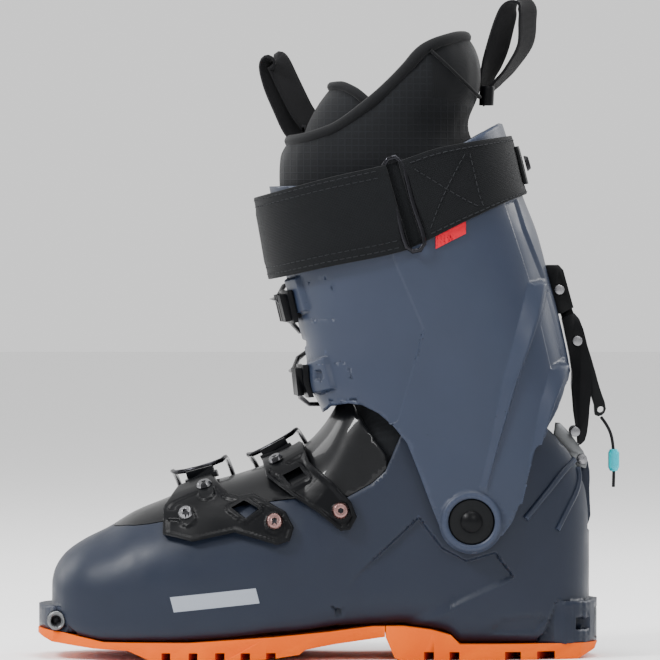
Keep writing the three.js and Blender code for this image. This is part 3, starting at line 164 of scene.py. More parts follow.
# How far the inner-side arms' two faces stand off the clog's skin.
ARM_BACK, ARM_FACE = 2.5, 4.6
# The strap stands this much further off the cuff in front, where the flaps' wires lie under it.
FLAP_ROOM = 6.2
# The tongue lies this far inside the shaft's outer form.
TONGUE_INSET = -8.5


def smooth_rows(rows, keys):
    """The table's columns at each key, on a curve through the rows that never overshoots them."""
    k, v = rows[:, 0], rows[:, 1:]
    secants = np.diff(v, axis=0) / np.diff(k)[:, None]
    slopes = np.zeros_like(v)
    before, after = secants[:-1], secants[1:]
    same = before * after > 0
    slopes[1:-1][same] = 2 * before[same] * after[same] / (before[same] + after[same])
    slopes[0], slopes[-1] = secants[0], secants[-1]
    i = np.clip(np.searchsorted(k, keys) - 1, 0, len(k) - 2)
    step = (k[i + 1] - k[i])[:, None]
    t = np.clip((keys - k[i])[:, None] / step, 0, 1)
    return (
        (2 * t**3 - 3 * t**2 + 1) * v[i]
        + (t**3 - 2 * t**2 + t) * step * slopes[i]
        + (3 * t**2 - 2 * t**3) * v[i + 1]
        + (t**3 - t**2) * step * slopes[i + 1]
    )


def row_at(rows, key):
    """The table's columns at one key."""
    return smooth_rows(rows, np.array([float(key)]))[0]


def between(values, low, high):
    return (values > low) & (values < high)


def smoothstep(low, high, value):
    t = np.clip((value - low) / (high - low), 0, 1)
    return t * t * (3 - 2 * t)


def flat_rows(rows, keys):
    """As smooth_rows, on straight lines from row to row."""
    return np.stack([np.interp(keys, rows[:, 0], column) for column in rows[:, 1:].T], axis=1)


def clog_shares(co, grow, at):
    """How far out points lie across and up the clog's sections, as shares of their size.

    With them come each section's squareness, its straight sides in a quarter, and its centre.
    """
    half, low, high, wide = at(CLOG_ROWS, co[:, 0]).T
    middle = low + (high - low) * wide
    dz = co[:, 2] - middle
    tall = np.clip((co[:, 0] + 90) / 40, 0, 1)
    power = np.where(dz >= 0, 2.3 + 1.3 * tall, 3.2)
    height = np.where(dz >= 0, high + grow - middle, middle - low)
    centre = np.stack([co[:, 0], np.zeros(len(co)), middle], axis=1)
    across, up = np.abs(co[:, 1] / (half + grow)), np.abs(dz / height)
    return across, up, power, np.where(dz >= 0, 8, 4), centre


def oval_shares(rows, co, grow, at):
    """The same for the level sections of the cuff or the inner boot, along and across them."""
    front, rear, half, square = at(rows, co[:, 2]).T
    middle = (front + rear) / 2
    depth = (rear - front) / 2 + grow
    centre = np.stack([middle, np.zeros(len(co)), co[:, 2]], axis=1)
    along, across = np.abs((co[:, 0] - middle) / depth), np.abs(co[:, 1] / (half + grow))
    return along, across, square, 7, centre


def cuff_shares(co, grow, at):
    return oval_shares(CUFF_ROWS, co, grow, at)


def curved_level(u, v, power):
    return (u**power + v**power) ** (1 / power)


def faceted_level(u, v, power, sides):
    """As curved_level, for a section drawn with a few straight sides in each quarter."""
    turn = np.arctan2(v ** (power / 2), u ** (power / 2))
    step = math.pi / 2 / sides
    first = np.minimum(np.floor(turn / step), sides - 1) * step
    ax, ay = np.cos(first) ** (2 / power), np.sin(first) ** (2 / power)
    last = first + step
    bx, by = np.maximum(np.cos(last), 0) ** (2 / power), np.sin(last) ** (2 / power)
    return (u * (by - ay) - v * (bx - ax)) / (ax * (by - ay) - ay * (bx - ax))


def clog_level(co, grow=0.0):
    """1 on the clog's skin and less inside it, and the centre that it is measured from."""
    u, v, power, _, centre = clog_shares(co, grow, smooth_rows)
    return curved_level(u, v, power), centre


def oval_level(rows, co, grow=0.0):
    u, v, power, _, centre = oval_shares(rows, co, grow, smooth_rows)
    return curved_level(u, v, power), centre


def cuff_level(co, grow=0.0):
    return oval_level(CUFF_ROWS, co, grow)


def oval_reach(rows, angle, z, grow=0.0):
    """The point of an oval form at an angle from its front, positive towards the outer side."""
    front, rear, half, square = row_at(rows, z)
    depth = (rear - front) / 2 + grow
    c, s = math.cos(angle), math.sin(angle)
    reach = (abs(c / depth) ** square + abs(s / (half + grow)) ** square) ** (-1 / square)
    return Vector(((front + rear) / 2 - reach * c, reach * s, z))


def on_line(line, x):
    """The height of a smooth line through some side-view points."""
    return float(row_at(np.array(line, float), x)[0])


def climbed(rows, angle, line, grow, rounds):
    """The height at which an oval form, at an angle from its front, meets a side-view line."""
    z = 300.0
    for _ in range(rounds):
        z += (on_line(line, oval_reach(rows, angle, z, grow).x) - z) * 0.5
    return z


# ---------- relief, in millimetres ----------
def to_segment(p, a, b):
    """Distance of points from a line segment, and the share along it."""
    a, b = np.array(a, float), np.array(b, float)
    d = b - a
    t = np.clip(((p - a) @ d) / (d @ d), 0, 1)
    return np.linalg.norm(p - (a + t[:, None] * d), axis=1), t


def inside_by(p, corners):
    """How far points lie inside a polygon, negative outside it."""
    near = np.full(len(p), FAR)
    inside = np.zeros(len(p), bool)
    for a, b in zip(corners, corners[1:] + corners[:1]):
        near = np.minimum(near, to_segment(p, a, b)[0])
        (x1, z1), (x2, z2) = a, b
        crosses = (z1 > p[:, 1]) != (z2 > p[:, 1])
        if z1 != z2:
            inside ^= crosses & (p[:, 0] < (x2 - x1) * (p[:, 1] - z1) / (z2 - z1) + x1)
    return np.where(inside, near, -near)


# Fields raised or sunk from a skin: corners, depth and the width of their sloping sides.
CUFF_PANELS = [
    ([(18.8, 248), (33.1, 204.1), (40.7, 206.6), (29.8, 234), (25, 250)], -1.6, 1.2),
    ([(38.5, 182), (42.2, 200.4), (52, 163.7), (43.9, 158.2)], -1.3, 1.2),
    ([(-42, 217.6), (-25.8, 179.8), (-39.9, 130.2), (-130, 100), (-140, 250), (-50, 250)],
     -0.55, 0.9),
    ([(-100.5, 206), (-93.5, 208), (-88, 190), (-94, 187)], 2.6, 1.2),
    ([(-88.2, 161), (-78.6, 164.9), (-73.9, 147.7), (-84.6, 144.1)], 2.8, 1.2),
    ([(-83, 157), (-80, 157.6), (-78.6, 154), (-80, 151.6), (-82.8, 152.4)], -2.4, 0.8),
]
CLOG_PANELS = [
    ([(17, 22), (41.3, 22), (34.5, 14.7), (10.1, 14.7)], -1.7, 1.1),
]
# Round ribs on the clog's heel: a side-view line and a radius.
HEEL_RIBS = [
    ([(56.5, 108), (50, 101.5), (42, 92), (35, 83.5), (29.5, 77)], 1.9),
    ([(58.5, 104), (59.3, 99), (58, 92), (53, 82), (47, 70.5)], 1.6),
]
# The broad field under the hinge, which fades out towards the toe and the sole.
SIDE_FACET = [(-28.4, 77.6), (-16.3, 61), (-2.6, 53.5), (13, 58.1), (22.8, 44.9), (-25, 22),
              (-70, 8), (-95, 14), (-77, 31.7)]
FACET_DEPTH, FACET_SLOPE, FACET_END = -2.6, 1.8, -60
# Ribs on the cuff: height, the front edge and the rear edge there, and how high they stand.
MAIN_RIB = [(94.5, 4.4, 9.3, 1.2), (118, 10, 15, 2.0), (153, 16.8, 25.4, 2.8),
            (170, 22, 31.6, 3.3), (186, 26, 37, 3.6), (205, 30.5, 40.9, 3.8)]
REAR_RIB = [(82.6, 26.1, 29.2, 0.9), (99, 29.6, 32.6, 1.3), (117.2, 33.1, 37.5, 2.0),
            (140, 37.4, 45, 2.8), (158, 42.5, 52, 3.2), (160.5, 45, 52.6, 3.2)]
# Where a rib's crest begins, as a share of its width, and how broad the crest is.
CREST, REAR_CREST, CREST_WIDTH = 0.62, 0.7, 0.12
# The edges left along relief, and how far from its lines the skin is cut as finely.
RELIEF_EDGE, RELIEF_REACH = 1.1, 1.6


def panel(p, corners, depth, edge):
    """Raise or sink a many-sided field, with straight sloping sides."""
    return depth * np.clip(inside_by(p, corners) / edge + 0.5, 0, 1)


def rib(p, rows, crest=CREST):
    """A rib with a broad slope in front of its crest and a short one behind."""
    z, front, rear, height = np.array(rows).T
    a, b, h = (np.interp(p[:, 1], z, column) for column in (front, rear, height))
    share = (p[:, 0] - a) / (b - a)
    rise = np.interp(share, [0, crest, crest + CREST_WIDTH, 1.0], [0, 1, 1, 0])
    foot = np.clip((p[:, 1] - z[0]) / 5 + 1, 0, 1)
    head = np.clip((z[-1] + 0.6 - p[:, 1]) / 1.2, 0, 1)
    return rise * h * (foot * head)


def lines_of(panels, ribs=()):
    """Both edges of every sloping side, as segments in side view."""
    lines = []
    for corners, _, edge in panels:
        for a, b in zip(corners, corners[1:] + corners[:1]):
            a, b = np.array(a, float), np.array(b, float)
            across = np.array([a[1] - b[1], b[0] - a[0]]) / np.linalg.norm(b - a)
            across = across * edge / 2
            lines += [(a + across, b + across), (a - across, b - across)]
    for rows in ribs:
        for share in (0, CREST, CREST + CREST_WIDTH, 1.0):
            knots = [np.array([a + (b - a) * share, z]) for z, a, b, _ in rows]
            lines += list(zip(knots, knots[1:]))
    return lines


def near_lines(p, lines):
    """The distance to the nearest of some segments, and the nearest place on it."""
    best, place = np.full(len(p), FAR), p.copy()
    for a, b in lines:
        near, share = to_segment(p, a, b)
        closer = near < best
        best[closer] = near[closer]
        place[closer] = (np.array(a) + share[:, None] * (np.array(b) - np.array(a)))[closer]
    return best, place


def clog_relief(co):
    """How far the clog's skin is raised at each point."""
    p = co[:, [0, 2]]
    made = sum(panel(p, *one) for one in CLOG_PANELS)
    fade = smoothstep(-78, -40, co[:, 0] + 0.3 * (co[:, 2] - 60)) * smoothstep(12, 26, co[:, 2])
    return made + panel(p, SIDE_FACET, FACET_DEPTH, FACET_SLOPE) * fade


def cuff_relief(co):
    p = co[:, [0, 2]]
    made = sum(panel(p, *one) for one in CUFF_PANELS)
    return made + rib(p, MAIN_RIB) + rib(p, REAR_RIB, REAR_CREST)


# ---------- tools for shaping ----------
def deselect():
    if bpy.context.object and bpy.context.object.mode != "OBJECT":
        bpy.ops.object.mode_set(mode="OBJECT")
    bpy.ops.object.select_all(action="DESELECT")


def choose(obj):
    """Select one piece alone and make it the active one."""
    deselect()
    obj.select_set(True)
    bpy.context.view_layer.objects.active = obj
    return obj


def apply_all(obj):
    choose(obj)
    for modifier in list(obj.modifiers):
        bpy.ops.object.modifier_apply(modifier=modifier.name)
    return obj


def modified(obj, kind, **settings):
    """Give the piece a modifier and apply it."""
    modifier = obj.modifiers.new(kind.lower(), kind)
    for key, value in settings.items():
        setattr(modifier, key, value)
    return apply_all(obj)


def smooth(obj, degrees=34):
    choose(obj)
    bpy.ops.object.shade_smooth_by_angle(angle=math.radians(degrees))
    return obj


def edit_all(obj):
    """Open the piece in edit mode with everything selected."""
    choose(obj)
    bpy.ops.object.mode_set(mode="EDIT")
    bpy.ops.mesh.select_all(action="SELECT")


def to_triangles():
    """Select the open mesh, cut its faces into triangles and close it."""
    bpy.ops.mesh.select_all(action="SELECT")
    bpy.ops.mesh.quads_convert_to_tris(quad_method="SHORTEST_DIAGONAL")
    bpy.ops.object.mode_set(mode="OBJECT")


def weld(obj, outward=False):
    """Join the points that lie together, and face the whole outwards if asked."""
    edit_all(obj)
    bpy.ops.mesh.remove_doubles(threshold=WELD)
    if outward:
        bpy.ops.mesh.normals_make_consistent(inside=False)
    bpy.ops.object.mode_set(mode="OBJECT")
    return obj


def points_of(obj):
    co = np.zeros(len(obj.data.vertices) * 3)
    obj.data.vertices.foreach_get("co", co)
    return co.reshape(-1, 3)


def move_points(obj, co):
    obj.data.vertices.foreach_set("co", np.asarray(co, float).ravel())
    obj.data.update()


def points_mm(obj):
    return points_of(obj) * 1000


def move_mm(obj, co):
    move_points(obj, co * MM)
    return obj


def projected(co, level, centre):
    """Points moved along the way out from the centre onto the skin where the level is 1."""
    return centre + (co - centre) / level[:, None]


def face_values(obj, key):
    """The centre or the normal of every face."""
    values = np.zeros(len(obj.data.polygons) * 3)
    obj.data.polygons.foreach_get(key, values)
    return values.reshape(-1, 3)


def share_faces(obj, which):
    """Give every face the material of its number."""
    obj.data.polygons.foreach_set("material_index", which.astype(np.int32))
    obj.data.update()


def paint_hollow_shade(obj, x, z, radius):
    """Black faces round a side-view point: painted shade for the dark hollow of a screw's drive or
    a socket.
    """
    obj.data.materials.append(MATERIALS["black_screw"])
    centres = face_values(obj, "center")
    share_faces(obj, np.hypot(centres[:, 0] - x, centres[:, 2] - z) < radius)


def paint(obj, *materials):
    obj.data.materials.clear()
    for material in materials:
        obj.data.materials.append(material)
    return obj


def done(obj, body, *finishes, node=None, slot=None):
    """Paint a piece, say which node it stands for and let it ride its body. The slot argument is
    not used.
    """
    paint(obj, *(MATERIALS[name] for name in finishes))
    if node:
        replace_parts(obj, node)
    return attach(obj, body)


def welded_copy(node, name=None):
    """A copy of a CAD node with its loose triangles joined, which then stands for the node."""
    source = frame["nodes"][node]
    obj = bpy.data.objects.new(name or f"{node}_finished", source.data.copy())
    bpy.context.scene.collection.objects.link(obj)
    weld(obj)
    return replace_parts(obj, node)


def cut_finer(obj, longest, rounds):
    """Halve the edges longer than a given length until none is left."""
    choose(obj)
    for _ in range(rounds):
        bpy.ops.object.mode_set(mode="EDIT")
        bpy.ops.mesh.select_all(action="DESELECT")
        bm = bmesh.from_edit_mesh(obj.data)
        found = 0
        for edge in bm.edges:
            if edge.calc_length() > longest:
                edge.select_set(True)
                found += 1
        bmesh.update_edit_mesh(obj.data)
        if not found:
            break
        bpy.ops.mesh.subdivide(number_cuts=1, ngon=False)
        to_triangles()
    bpy.ops.object.mode_set(mode="OBJECT")
    return obj


def cut_near(obj, lines, level_at):
    """Halve a skin's edges near some lines, then lay the points close to a line on it."""
    choose(obj)
    for _ in range(4):
        ends = np.zeros(len(obj.data.edges) * 2, int)
        obj.data.edges.foreach_get("vertices", ends)
        ends = ends.reshape(-1, 2)
        co = points_mm(obj)
        middle = (co[ends[:, 0]] + co[ends[:, 1]]) / 2
        length = np.linalg.norm(co[ends[:, 0]] - co[ends[:, 1]], axis=1)
        chosen = length > RELIEF_EDGE
        level, _ = level_at(middle[chosen], 0.0)
        near, _ = near_lines(middle[chosen][:, [0, 2]], lines)
        close = near < RELIEF_REACH + length[chosen] * 0.4
        chosen[chosen] = between(level, 0.96, 1.02) & close
        if not chosen.any():
            break
        bpy.ops.object.mode_set(mode="EDIT")
        bpy.ops.mesh.select_mode(type="EDGE")
        bpy.ops.mesh.select_all(action="DESELECT")
        bpy.ops.object.mode_set(mode="OBJECT")
        obj.data.edges.foreach_set("select", chosen)
        bpy.ops.object.mode_set(mode="EDIT")
        bpy.ops.mesh.subdivide(number_cuts=1, ngon=False)
        to_triangles()
    co = points_mm(obj)
    level, _ = level_at(co, 0.0)
    near, place = near_lines(co[:, [0, 2]], lines)
    chosen = (near < RELIEF_EDGE * 0.42) & between(level, 0.97, 1.02)
    co[chosen, 0], co[chosen, 2] = place[chosen].T
    level, centre = level_at(co, 0.0)
    co[chosen] = projected(co, level, centre)[chosen]
    return move_mm(obj, co)


def square_sides(obj, chosen):
    """Make the clog's lower walls run down straight to the sole."""
    co = points_mm(obj)
    half, low, high, wide = smooth_rows(CLOG_ROWS, co[:, 0]).T
    middle = low + (high - low) * wide
    level, centre = clog_level(co)
    across, down = np.abs(co[:, 1] / half), np.abs((co[:, 2] - middle) / (middle - low))
    squarer = curved_level(across, down, WALL_POWER)
    chosen = chosen & (co[:, 2] < middle)
    co[chosen] = (centre + (co - centre) * (level / squarer)[:, None])[chosen]
    return move_mm(obj, co)


def flush_sole(obj):
    """Widen a sole until its sides are flush with the clog's walls."""
    co = points_mm(obj)
    slices, overlap, inset, most = 24, 3, 0.5, 1.6
    edges = np.linspace(co[:, 0].min(), co[:, 0].max(), slices)
    places, widths = [], []
    for a, b in zip(edges, edges[1:]):
        inside = (co[:, 0] >= a - overlap) & (co[:, 0] <= b + overlap)
        if inside.any():
            places.append((a + b) / 2)
            widths.append(np.abs(co[inside, 1]).max())
    own = np.interp(co[:, 0], places, widths)
    clog = smooth_rows(CLOG_ROWS, co[:, 0])[:, 0] - inset
    co[:, 1] *= np.clip(np.maximum(clog, own) / own, 1, most)
    return move_mm(obj, co)


def new_curve(name, radius, resolution):
    curve = bpy.data.curves.new(name, "CURVE")
    curve.dimensions = "3D"
    curve.bevel_depth = radius
    curve.bevel_resolution = resolution
    curve.use_fill_caps = True
    return curve


def curve_to_mesh(name, curve):
    obj = bpy.data.objects.new(name, curve)
    bpy.context.scene.collection.objects.link(obj)
    choose(obj)
    bpy.ops.object.convert(target="MESH")
    return bpy.context.object


def dashes(name, points, length, gap, radius):
    """A row of stitches along a line that lies on cloth."""
    curve = new_curve(name, radius, 0)
    line = np.array([list(p) for p in points])
    along = lengths_along(line)
    start = gap
    while start + length < along[-1]:
        spline = curve.splines.new("POLY")
        spline.points.add(2)
        for knot, place in zip(spline.points, (start, start + length / 2, start + length)):
            knot.co = (*(np.interp(place, along, line[:, k]) for k in range(3)), 1)
        start += length + gap
    return smooth(curve_to_mesh(name, curve), 60)


def join(objects, name):
    choose(objects[0])
    for obj in objects:
        obj.select_set(True)
    bpy.ops.object.join()
    objects[0].name = name
    return objects[0]


def unfaceted(obj, shares_at, grow=0.0):
    """Swell a whole piece from the straight-sided sections to the curved ones."""
    co = points_mm(obj)
    u, v, power, sides, _ = shares_at(co, grow, flat_rows)
    flat = faceted_level(u, v, power, sides)
    u, v, power, _, centre = shares_at(co, grow, smooth_rows)
    curved = np.maximum(curved_level(u, v, power), 1e-6)
    ratio = 1 + (flat / curved - 1) * smoothstep(0.4, 0.8, curved)
    return move_mm(obj, centre + (co - centre) * ratio[:, None])


def round_skin(obj, level_at, grows=(0.0,), band=(0.989, 0.994, 1.006)):
    """Lay the points within a band of level round each skin on it."""
    co = points_mm(obj)
    for grow in grows:
        level, centre = level_at(co, grow)
        weight = smoothstep(band[0], band[1], level) * (level < band[2])
        co = co + (projected(co, level, centre) - co) * weight[:, None]
    return move_mm(obj, co)


def on_skin(obj, level_at):
    """Which points lie on the outer skin."""
    level, _ = level_at(points_mm(obj), 0.0)
    return between(level, 0.992, 1.004)


def raised(obj, level_at, relief, chosen):
    """Move the chosen points of a skin out or in by its relief."""
    co = points_mm(obj)
    out = co - level_at(co, 0.0)[1]
    out /= np.maximum(np.linalg.norm(out, axis=1), 1e-6)[:, None]
    return move_mm(obj, co + out * (relief(co) * chosen)[:, None])


def bevelled(obj, width, degrees=SHARP):
    modified(obj, "BEVEL", width=width, segments=2, limit_method="ANGLE",
             angle_limit=math.radians(degrees))
    return smooth(obj)


def hard_piece(node, finish, width, degrees=SHARP):
    """A CAD piece with its edges broken and a real finish."""
    obj = bevelled(welded_copy(node), width, degrees)
    return done(obj, BODY_OF[node], finish)


def piped(name, points, radius, closed=False, sides=8, along=4):
    """A round rope, wire or piping along points, as a mesh."""
    curve = new_curve(name, radius, max(1, sides // 4))
    curve.resolution_u = along
    spline = curve.splines.new("BEZIER")
    spline.bezier_points.add(len(points) - 1)
    for knot, p in zip(spline.bezier_points, points):
        knot.co = p
        knot.handle_left_type = knot.handle_right_type = "AUTO"
    spline.use_cyclic_u = closed
    return smooth(weld(curve_to_mesh(name, curve), outward=True), 50)


def lengths_along(line):
    return np.concatenate([[0], np.cumsum(np.linalg.norm(np.diff(line, axis=0), axis=1))])


def sheet_of(name, rows):
    """A surface through a table of points, begun as a grid, with a UV map in metres."""
    count_u, count_v = len(rows), len(rows[0])
    deselect()
    bpy.ops.mesh.primitive_grid_add(
        x_subdivisions=count_u - 1, y_subdivisions=count_v - 1, size=1)
    obj = bpy.context.object
    obj.name = name
    obj.data.name = name
    co = points_of(obj)
    u = np.rint((co[:, 0] + 0.5) * (count_u - 1)).astype(int)
    v = np.rint((co[:, 1] + 0.5) * (count_v - 1)).astype(int)
    table = np.array([[list(p) for p in row] for row in rows])
    move_points(obj, table[u, v])
    lengths_u = lengths_along(table[:, count_v // 2])
    lengths_v = lengths_along(table[count_u // 2])
    uv = obj.data.uv_layers.active or obj.data.uv_layers.new(name="UVMap")
    for loop in obj.data.loops:
        uv.data[loop.index].uv = (lengths_u[u[loop.vertex_index]], lengths_v[v[loop.vertex_index]])
    return obj


def thickened(obj, thickness, offset, edge=0.0006):
    modified(obj, "SOLIDIFY", thickness=thickness, offset=offset)
    return bevelled(obj, edge, 50)


def puffed(obj, voxel, pressure, cap, frames=20):
    """Fill a form like foam under cloth, and leave the result as plain mesh."""
    choose(obj)
    obj.data.remesh_voxel_size = voxel
    bpy.ops.object.voxel_remesh()
    before = points_of(obj)
    cloth = obj.modifiers.new("fill", "CLOTH")
    cloth.settings.use_pressure = True
    cloth.settings.uniform_pressure_force = pressure
    cloth.settings.effector_weights.gravity = 0
    cloth.settings.quality = 4
    cloth.point_cache.frame_start = 1
    cloth.point_cache.frame_end = frames
    scene = bpy.context.scene
    for step in range(1, frames + 1):
        scene.frame_set(step)
    apply_all(obj)
    scene.frame_set(1)
    move = points_of(obj) - before
    length = np.linalg.norm(move, axis=1)
    share = np.minimum(1, cap / np.maximum(length, 1e-9))
    move_points(obj, before + move * share[:, None])
    return smooth(obj, 60)


# ---------- materials ----------
class Finish:
    """A small builder of one procedural material, which it adds to MATERIALS."""

    def __init__(self, name, color, roughness, metallic=0.0):
        self.material = MATERIALS[name] = bpy.data.materials.new(name)
        self.material.use_nodes = True
        self.tree = self.material.node_tree
        self.shader = self.tree.nodes["Principled BSDF"]
        self.tint = (*color, 1.0)
        self.height = None
        self.set("Base Color", self.tint)
        self.set("Roughness", roughness)
        self.set("Metallic", metallic)
        self.place = self.add("ShaderNodeTexCoord")

    def feed(self, socket, value):
        """Link a socket to another, or give it a plain value."""
        if isinstance(value, bpy.types.NodeSocket):
            self.tree.links.new(value, socket)
        else:
            socket.default_value = value

    def set(self, socket, value):
        """Feed one of the shader's own sockets."""
        self.feed(self.shader.inputs[socket], value)
        return self

    def add(self, kind, inputs=None, **settings):
        node = self.tree.nodes.new(kind)
        for key, value in settings.items():
            setattr(node, key, value)
        for key, value in (inputs or {}).items():
            self.feed(node.inputs[key], value)
        return node

    def mapped(self, source="Object", scale=(1, 1, 1)):
        node = self.add("ShaderNodeMapping", {
            "Scale": scale, "Vector": self.place.outputs[source]})
        return node.outputs["Vector"]

    def noise(self, scale, detail=3.0, stretch=(1, 1, 1)):
        node = self.add("ShaderNodeTexNoise", {
            "Scale": scale, "Detail": detail, "Vector": self.mapped("Object", stretch)})
        return node.outputs["Fac"]

    def wave(self, scale, axis, source):
        node = self.add("ShaderNodeTexWave", {"Scale": scale, "Vector": self.mapped(source)},
                        bands_direction=axis, wave_profile="SIN")
        return node.outputs["Fac"]

    def maths(self, how, *values):
        node = self.add("ShaderNodeMath", dict(enumerate(values)), operation=how)
        return node.outputs[0]

    def spread(self, fac, low, high, begin=0.3, end=0.7):
        """Stretch a pattern's range to lie between two numbers."""
        node = self.add("ShaderNodeMapRange", {
            "From Min": begin, "From Max": end, "To Min": low, "To Max": high, "Value": fac})
        return node.outputs["Result"]

    def blend(self, fac, other):
        """Lay another colour over the present one where the pattern says."""
        node = self.add("ShaderNodeMix", {"Factor": fac}, data_type="RGBA")
        under, over = [s for s in node.inputs if s.type == "RGBA"]
        self.feed(under, self.tint)
        self.feed(over, (*other, 1.0))
        self.tint = [s for s in node.outputs if s.type == "RGBA"][0]
        return self.set("Base Color", self.tint)

    def rough(self, fac, low, high):
        return self.set("Roughness", self.spread(fac, low, high))

    def bump(self, fac, distance, strength=1.0):
        node = self.add("ShaderNodeBump", {
            "Distance": distance, "Strength": strength, "Height": fac})
        if self.height is not None:
            self.feed(node.inputs["Normal"], self.height)
        self.height = node.outputs["Normal"]
        return self.set("Normal", self.height)

    def painted_edge_highlights(self, color, amount):
        """Lighten the outward corners: a painted highlight along the edges, where light glints on
        them.
        """
        corners = self.add("ShaderNodeNewGeometry").outputs["Pointiness"]
        return self.blend(self.spread(corners, 0.0, amount, 0.53, 0.62), color)

    def cloth(self, sheen):
        """The dull nap of a fabric."""
        self.set("Specular IOR Level", 0.15).set("Sheen Roughness", 0.4)
        return self.set("Sheen Weight", sheen)


def lighter(color, factor):
    return tuple(min(1.0, c * factor) for c in color)


def moulded(name, color, rough, fleck=1.25, grain=0.00003, grain_scale=1400, gloss=0.28):
    """A moulded plastic: faint flow marks, a fine-grained skin and slightly uneven gloss."""
    f = Finish(name, color, rough)
    f.blend(f.spread(f.noise(38, 4), 0.0, 0.35), lighter(color, fleck))
    f.blend(f.spread(f.noise(9, 2, (1, 1, 0.4)), 0.0, 0.3), lighter(color, 0.82))
    # Painted highlight: outward corners lightened to 2.6 times the colour.
    f.painted_edge_highlights(lighter(color, 2.6), 0.4)
    f.rough(f.noise(70, 4), rough - 0.06, rough + 0.07)
    f.bump(f.noise(grain_scale, 2), grain)
    f.bump(f.noise(24, 1), 0.00012, 0.25)
    return f.set("Specular IOR Level", gloss)


def metal(name, color, rough, brushed=(1, 1, 1)):
    """A worked metal with fine streaks and a little tarnish."""
    f = Finish(name, color, rough, 1.0)
    streaks = f.noise(420, 3, brushed)
    f.blend(f.spread(f.noise(60, 3), 0, 0.3), lighter(color, 0.7))
    f.rough(streaks, rough - 0.08, rough + 0.12)
    return f.bump(streaks, 0.00002, 0.6)


def woven(name, color, thread, rough=0.9, source="UV", depth=0.00012, sheen=0.06):
    """A close weave: two sets of threads that pass over and under each other."""
    f = Finish(name, color, rough)
    half_per_metre = 0.5 / (thread * MM)
    weave = f.maths("MULTIPLY", *(f.wave(half_per_metre, axis, source) for axis in "XY"))
    f.blend(f.spread(weave, 0.0, 0.55), lighter(color, 2.0))
    f.blend(f.spread(f.noise(60, 4), 0.0, 0.3), lighter(color, 0.6))
    f.bump(weave, depth)
    f.bump(f.noise(2600, 2), 0.00003)
    return f.cloth(sheen)


def ripstop(name, color, pitch, rough=0.85):
    """Fabric with a raised grid of heavier threads over a fine weave."""
    f = Finish(name, color, rough)
    waves = (f.wave(math.pi / (pitch * MM) / 10, axis, "Object") for axis in "XZ")
    grid = f.maths("MAXIMUM", *(f.maths("POWER", wave, 14.0) for wave in waves))
    f.blend(f.maths("MULTIPLY", grid, 0.4), lighter(color, 2.6))
    f.blend(f.spread(f.noise(45, 4), 0.0, 0.35), lighter(color, 0.65))
    f.bump(grid, 0.00015, 0.6)
    f.bump(f.noise(1900, 2), 0.00006)
    return f.cloth(0.08)


class BOOT_PG_sizes(bpy.types.PropertyGroup):
    stitch_length: FloatProperty(
        name="Stitch length", description="Length of one stitch of the sewn seams",
        default=0.0026, unit="LENGTH")
    piping_radius: FloatProperty(
        name="Piping radius", description="Radius of the padded roll round the collar",
        default=0.0034, unit="LENGTH")
    strap_thickness: FloatProperty(
        name="Strap thickness", description="Thickness of the power strap's webbing",
        default=0.0025, unit="LENGTH")


class BOOT_PG_colors(bpy.types.PropertyGroup):
    shell: FloatVectorProperty(
        name="Shell", description="Dark blue of the clog and cuff", subtype="COLOR",
        default=(0.0150, 0.0215, 0.0400), min=0, max=1)
    hardware: FloatVectorProperty(
        name="Hardware", description="Black of the buckles and arms", subtype="COLOR",
        default=(0.0018, 0.002, 0.0026), min=0, max=1)
    sole: FloatVectorProperty(
        name="Sole", description="Orange of the rubber", subtype="COLOR",
        default=(0.60, 0.082, 0.0), min=0, max=1)
    padding: FloatVectorProperty(
        name="Padding", description="Near black of the inner boot", subtype="COLOR",
        default=(0.0035, 0.004, 0.005), min=0, max=1)
    bead: FloatVectorProperty(
        name="Bead", description="Turquoise of the cord's bead", subtype="COLOR",
        default=(0.003, 0.36, 0.44), min=0, max=1)


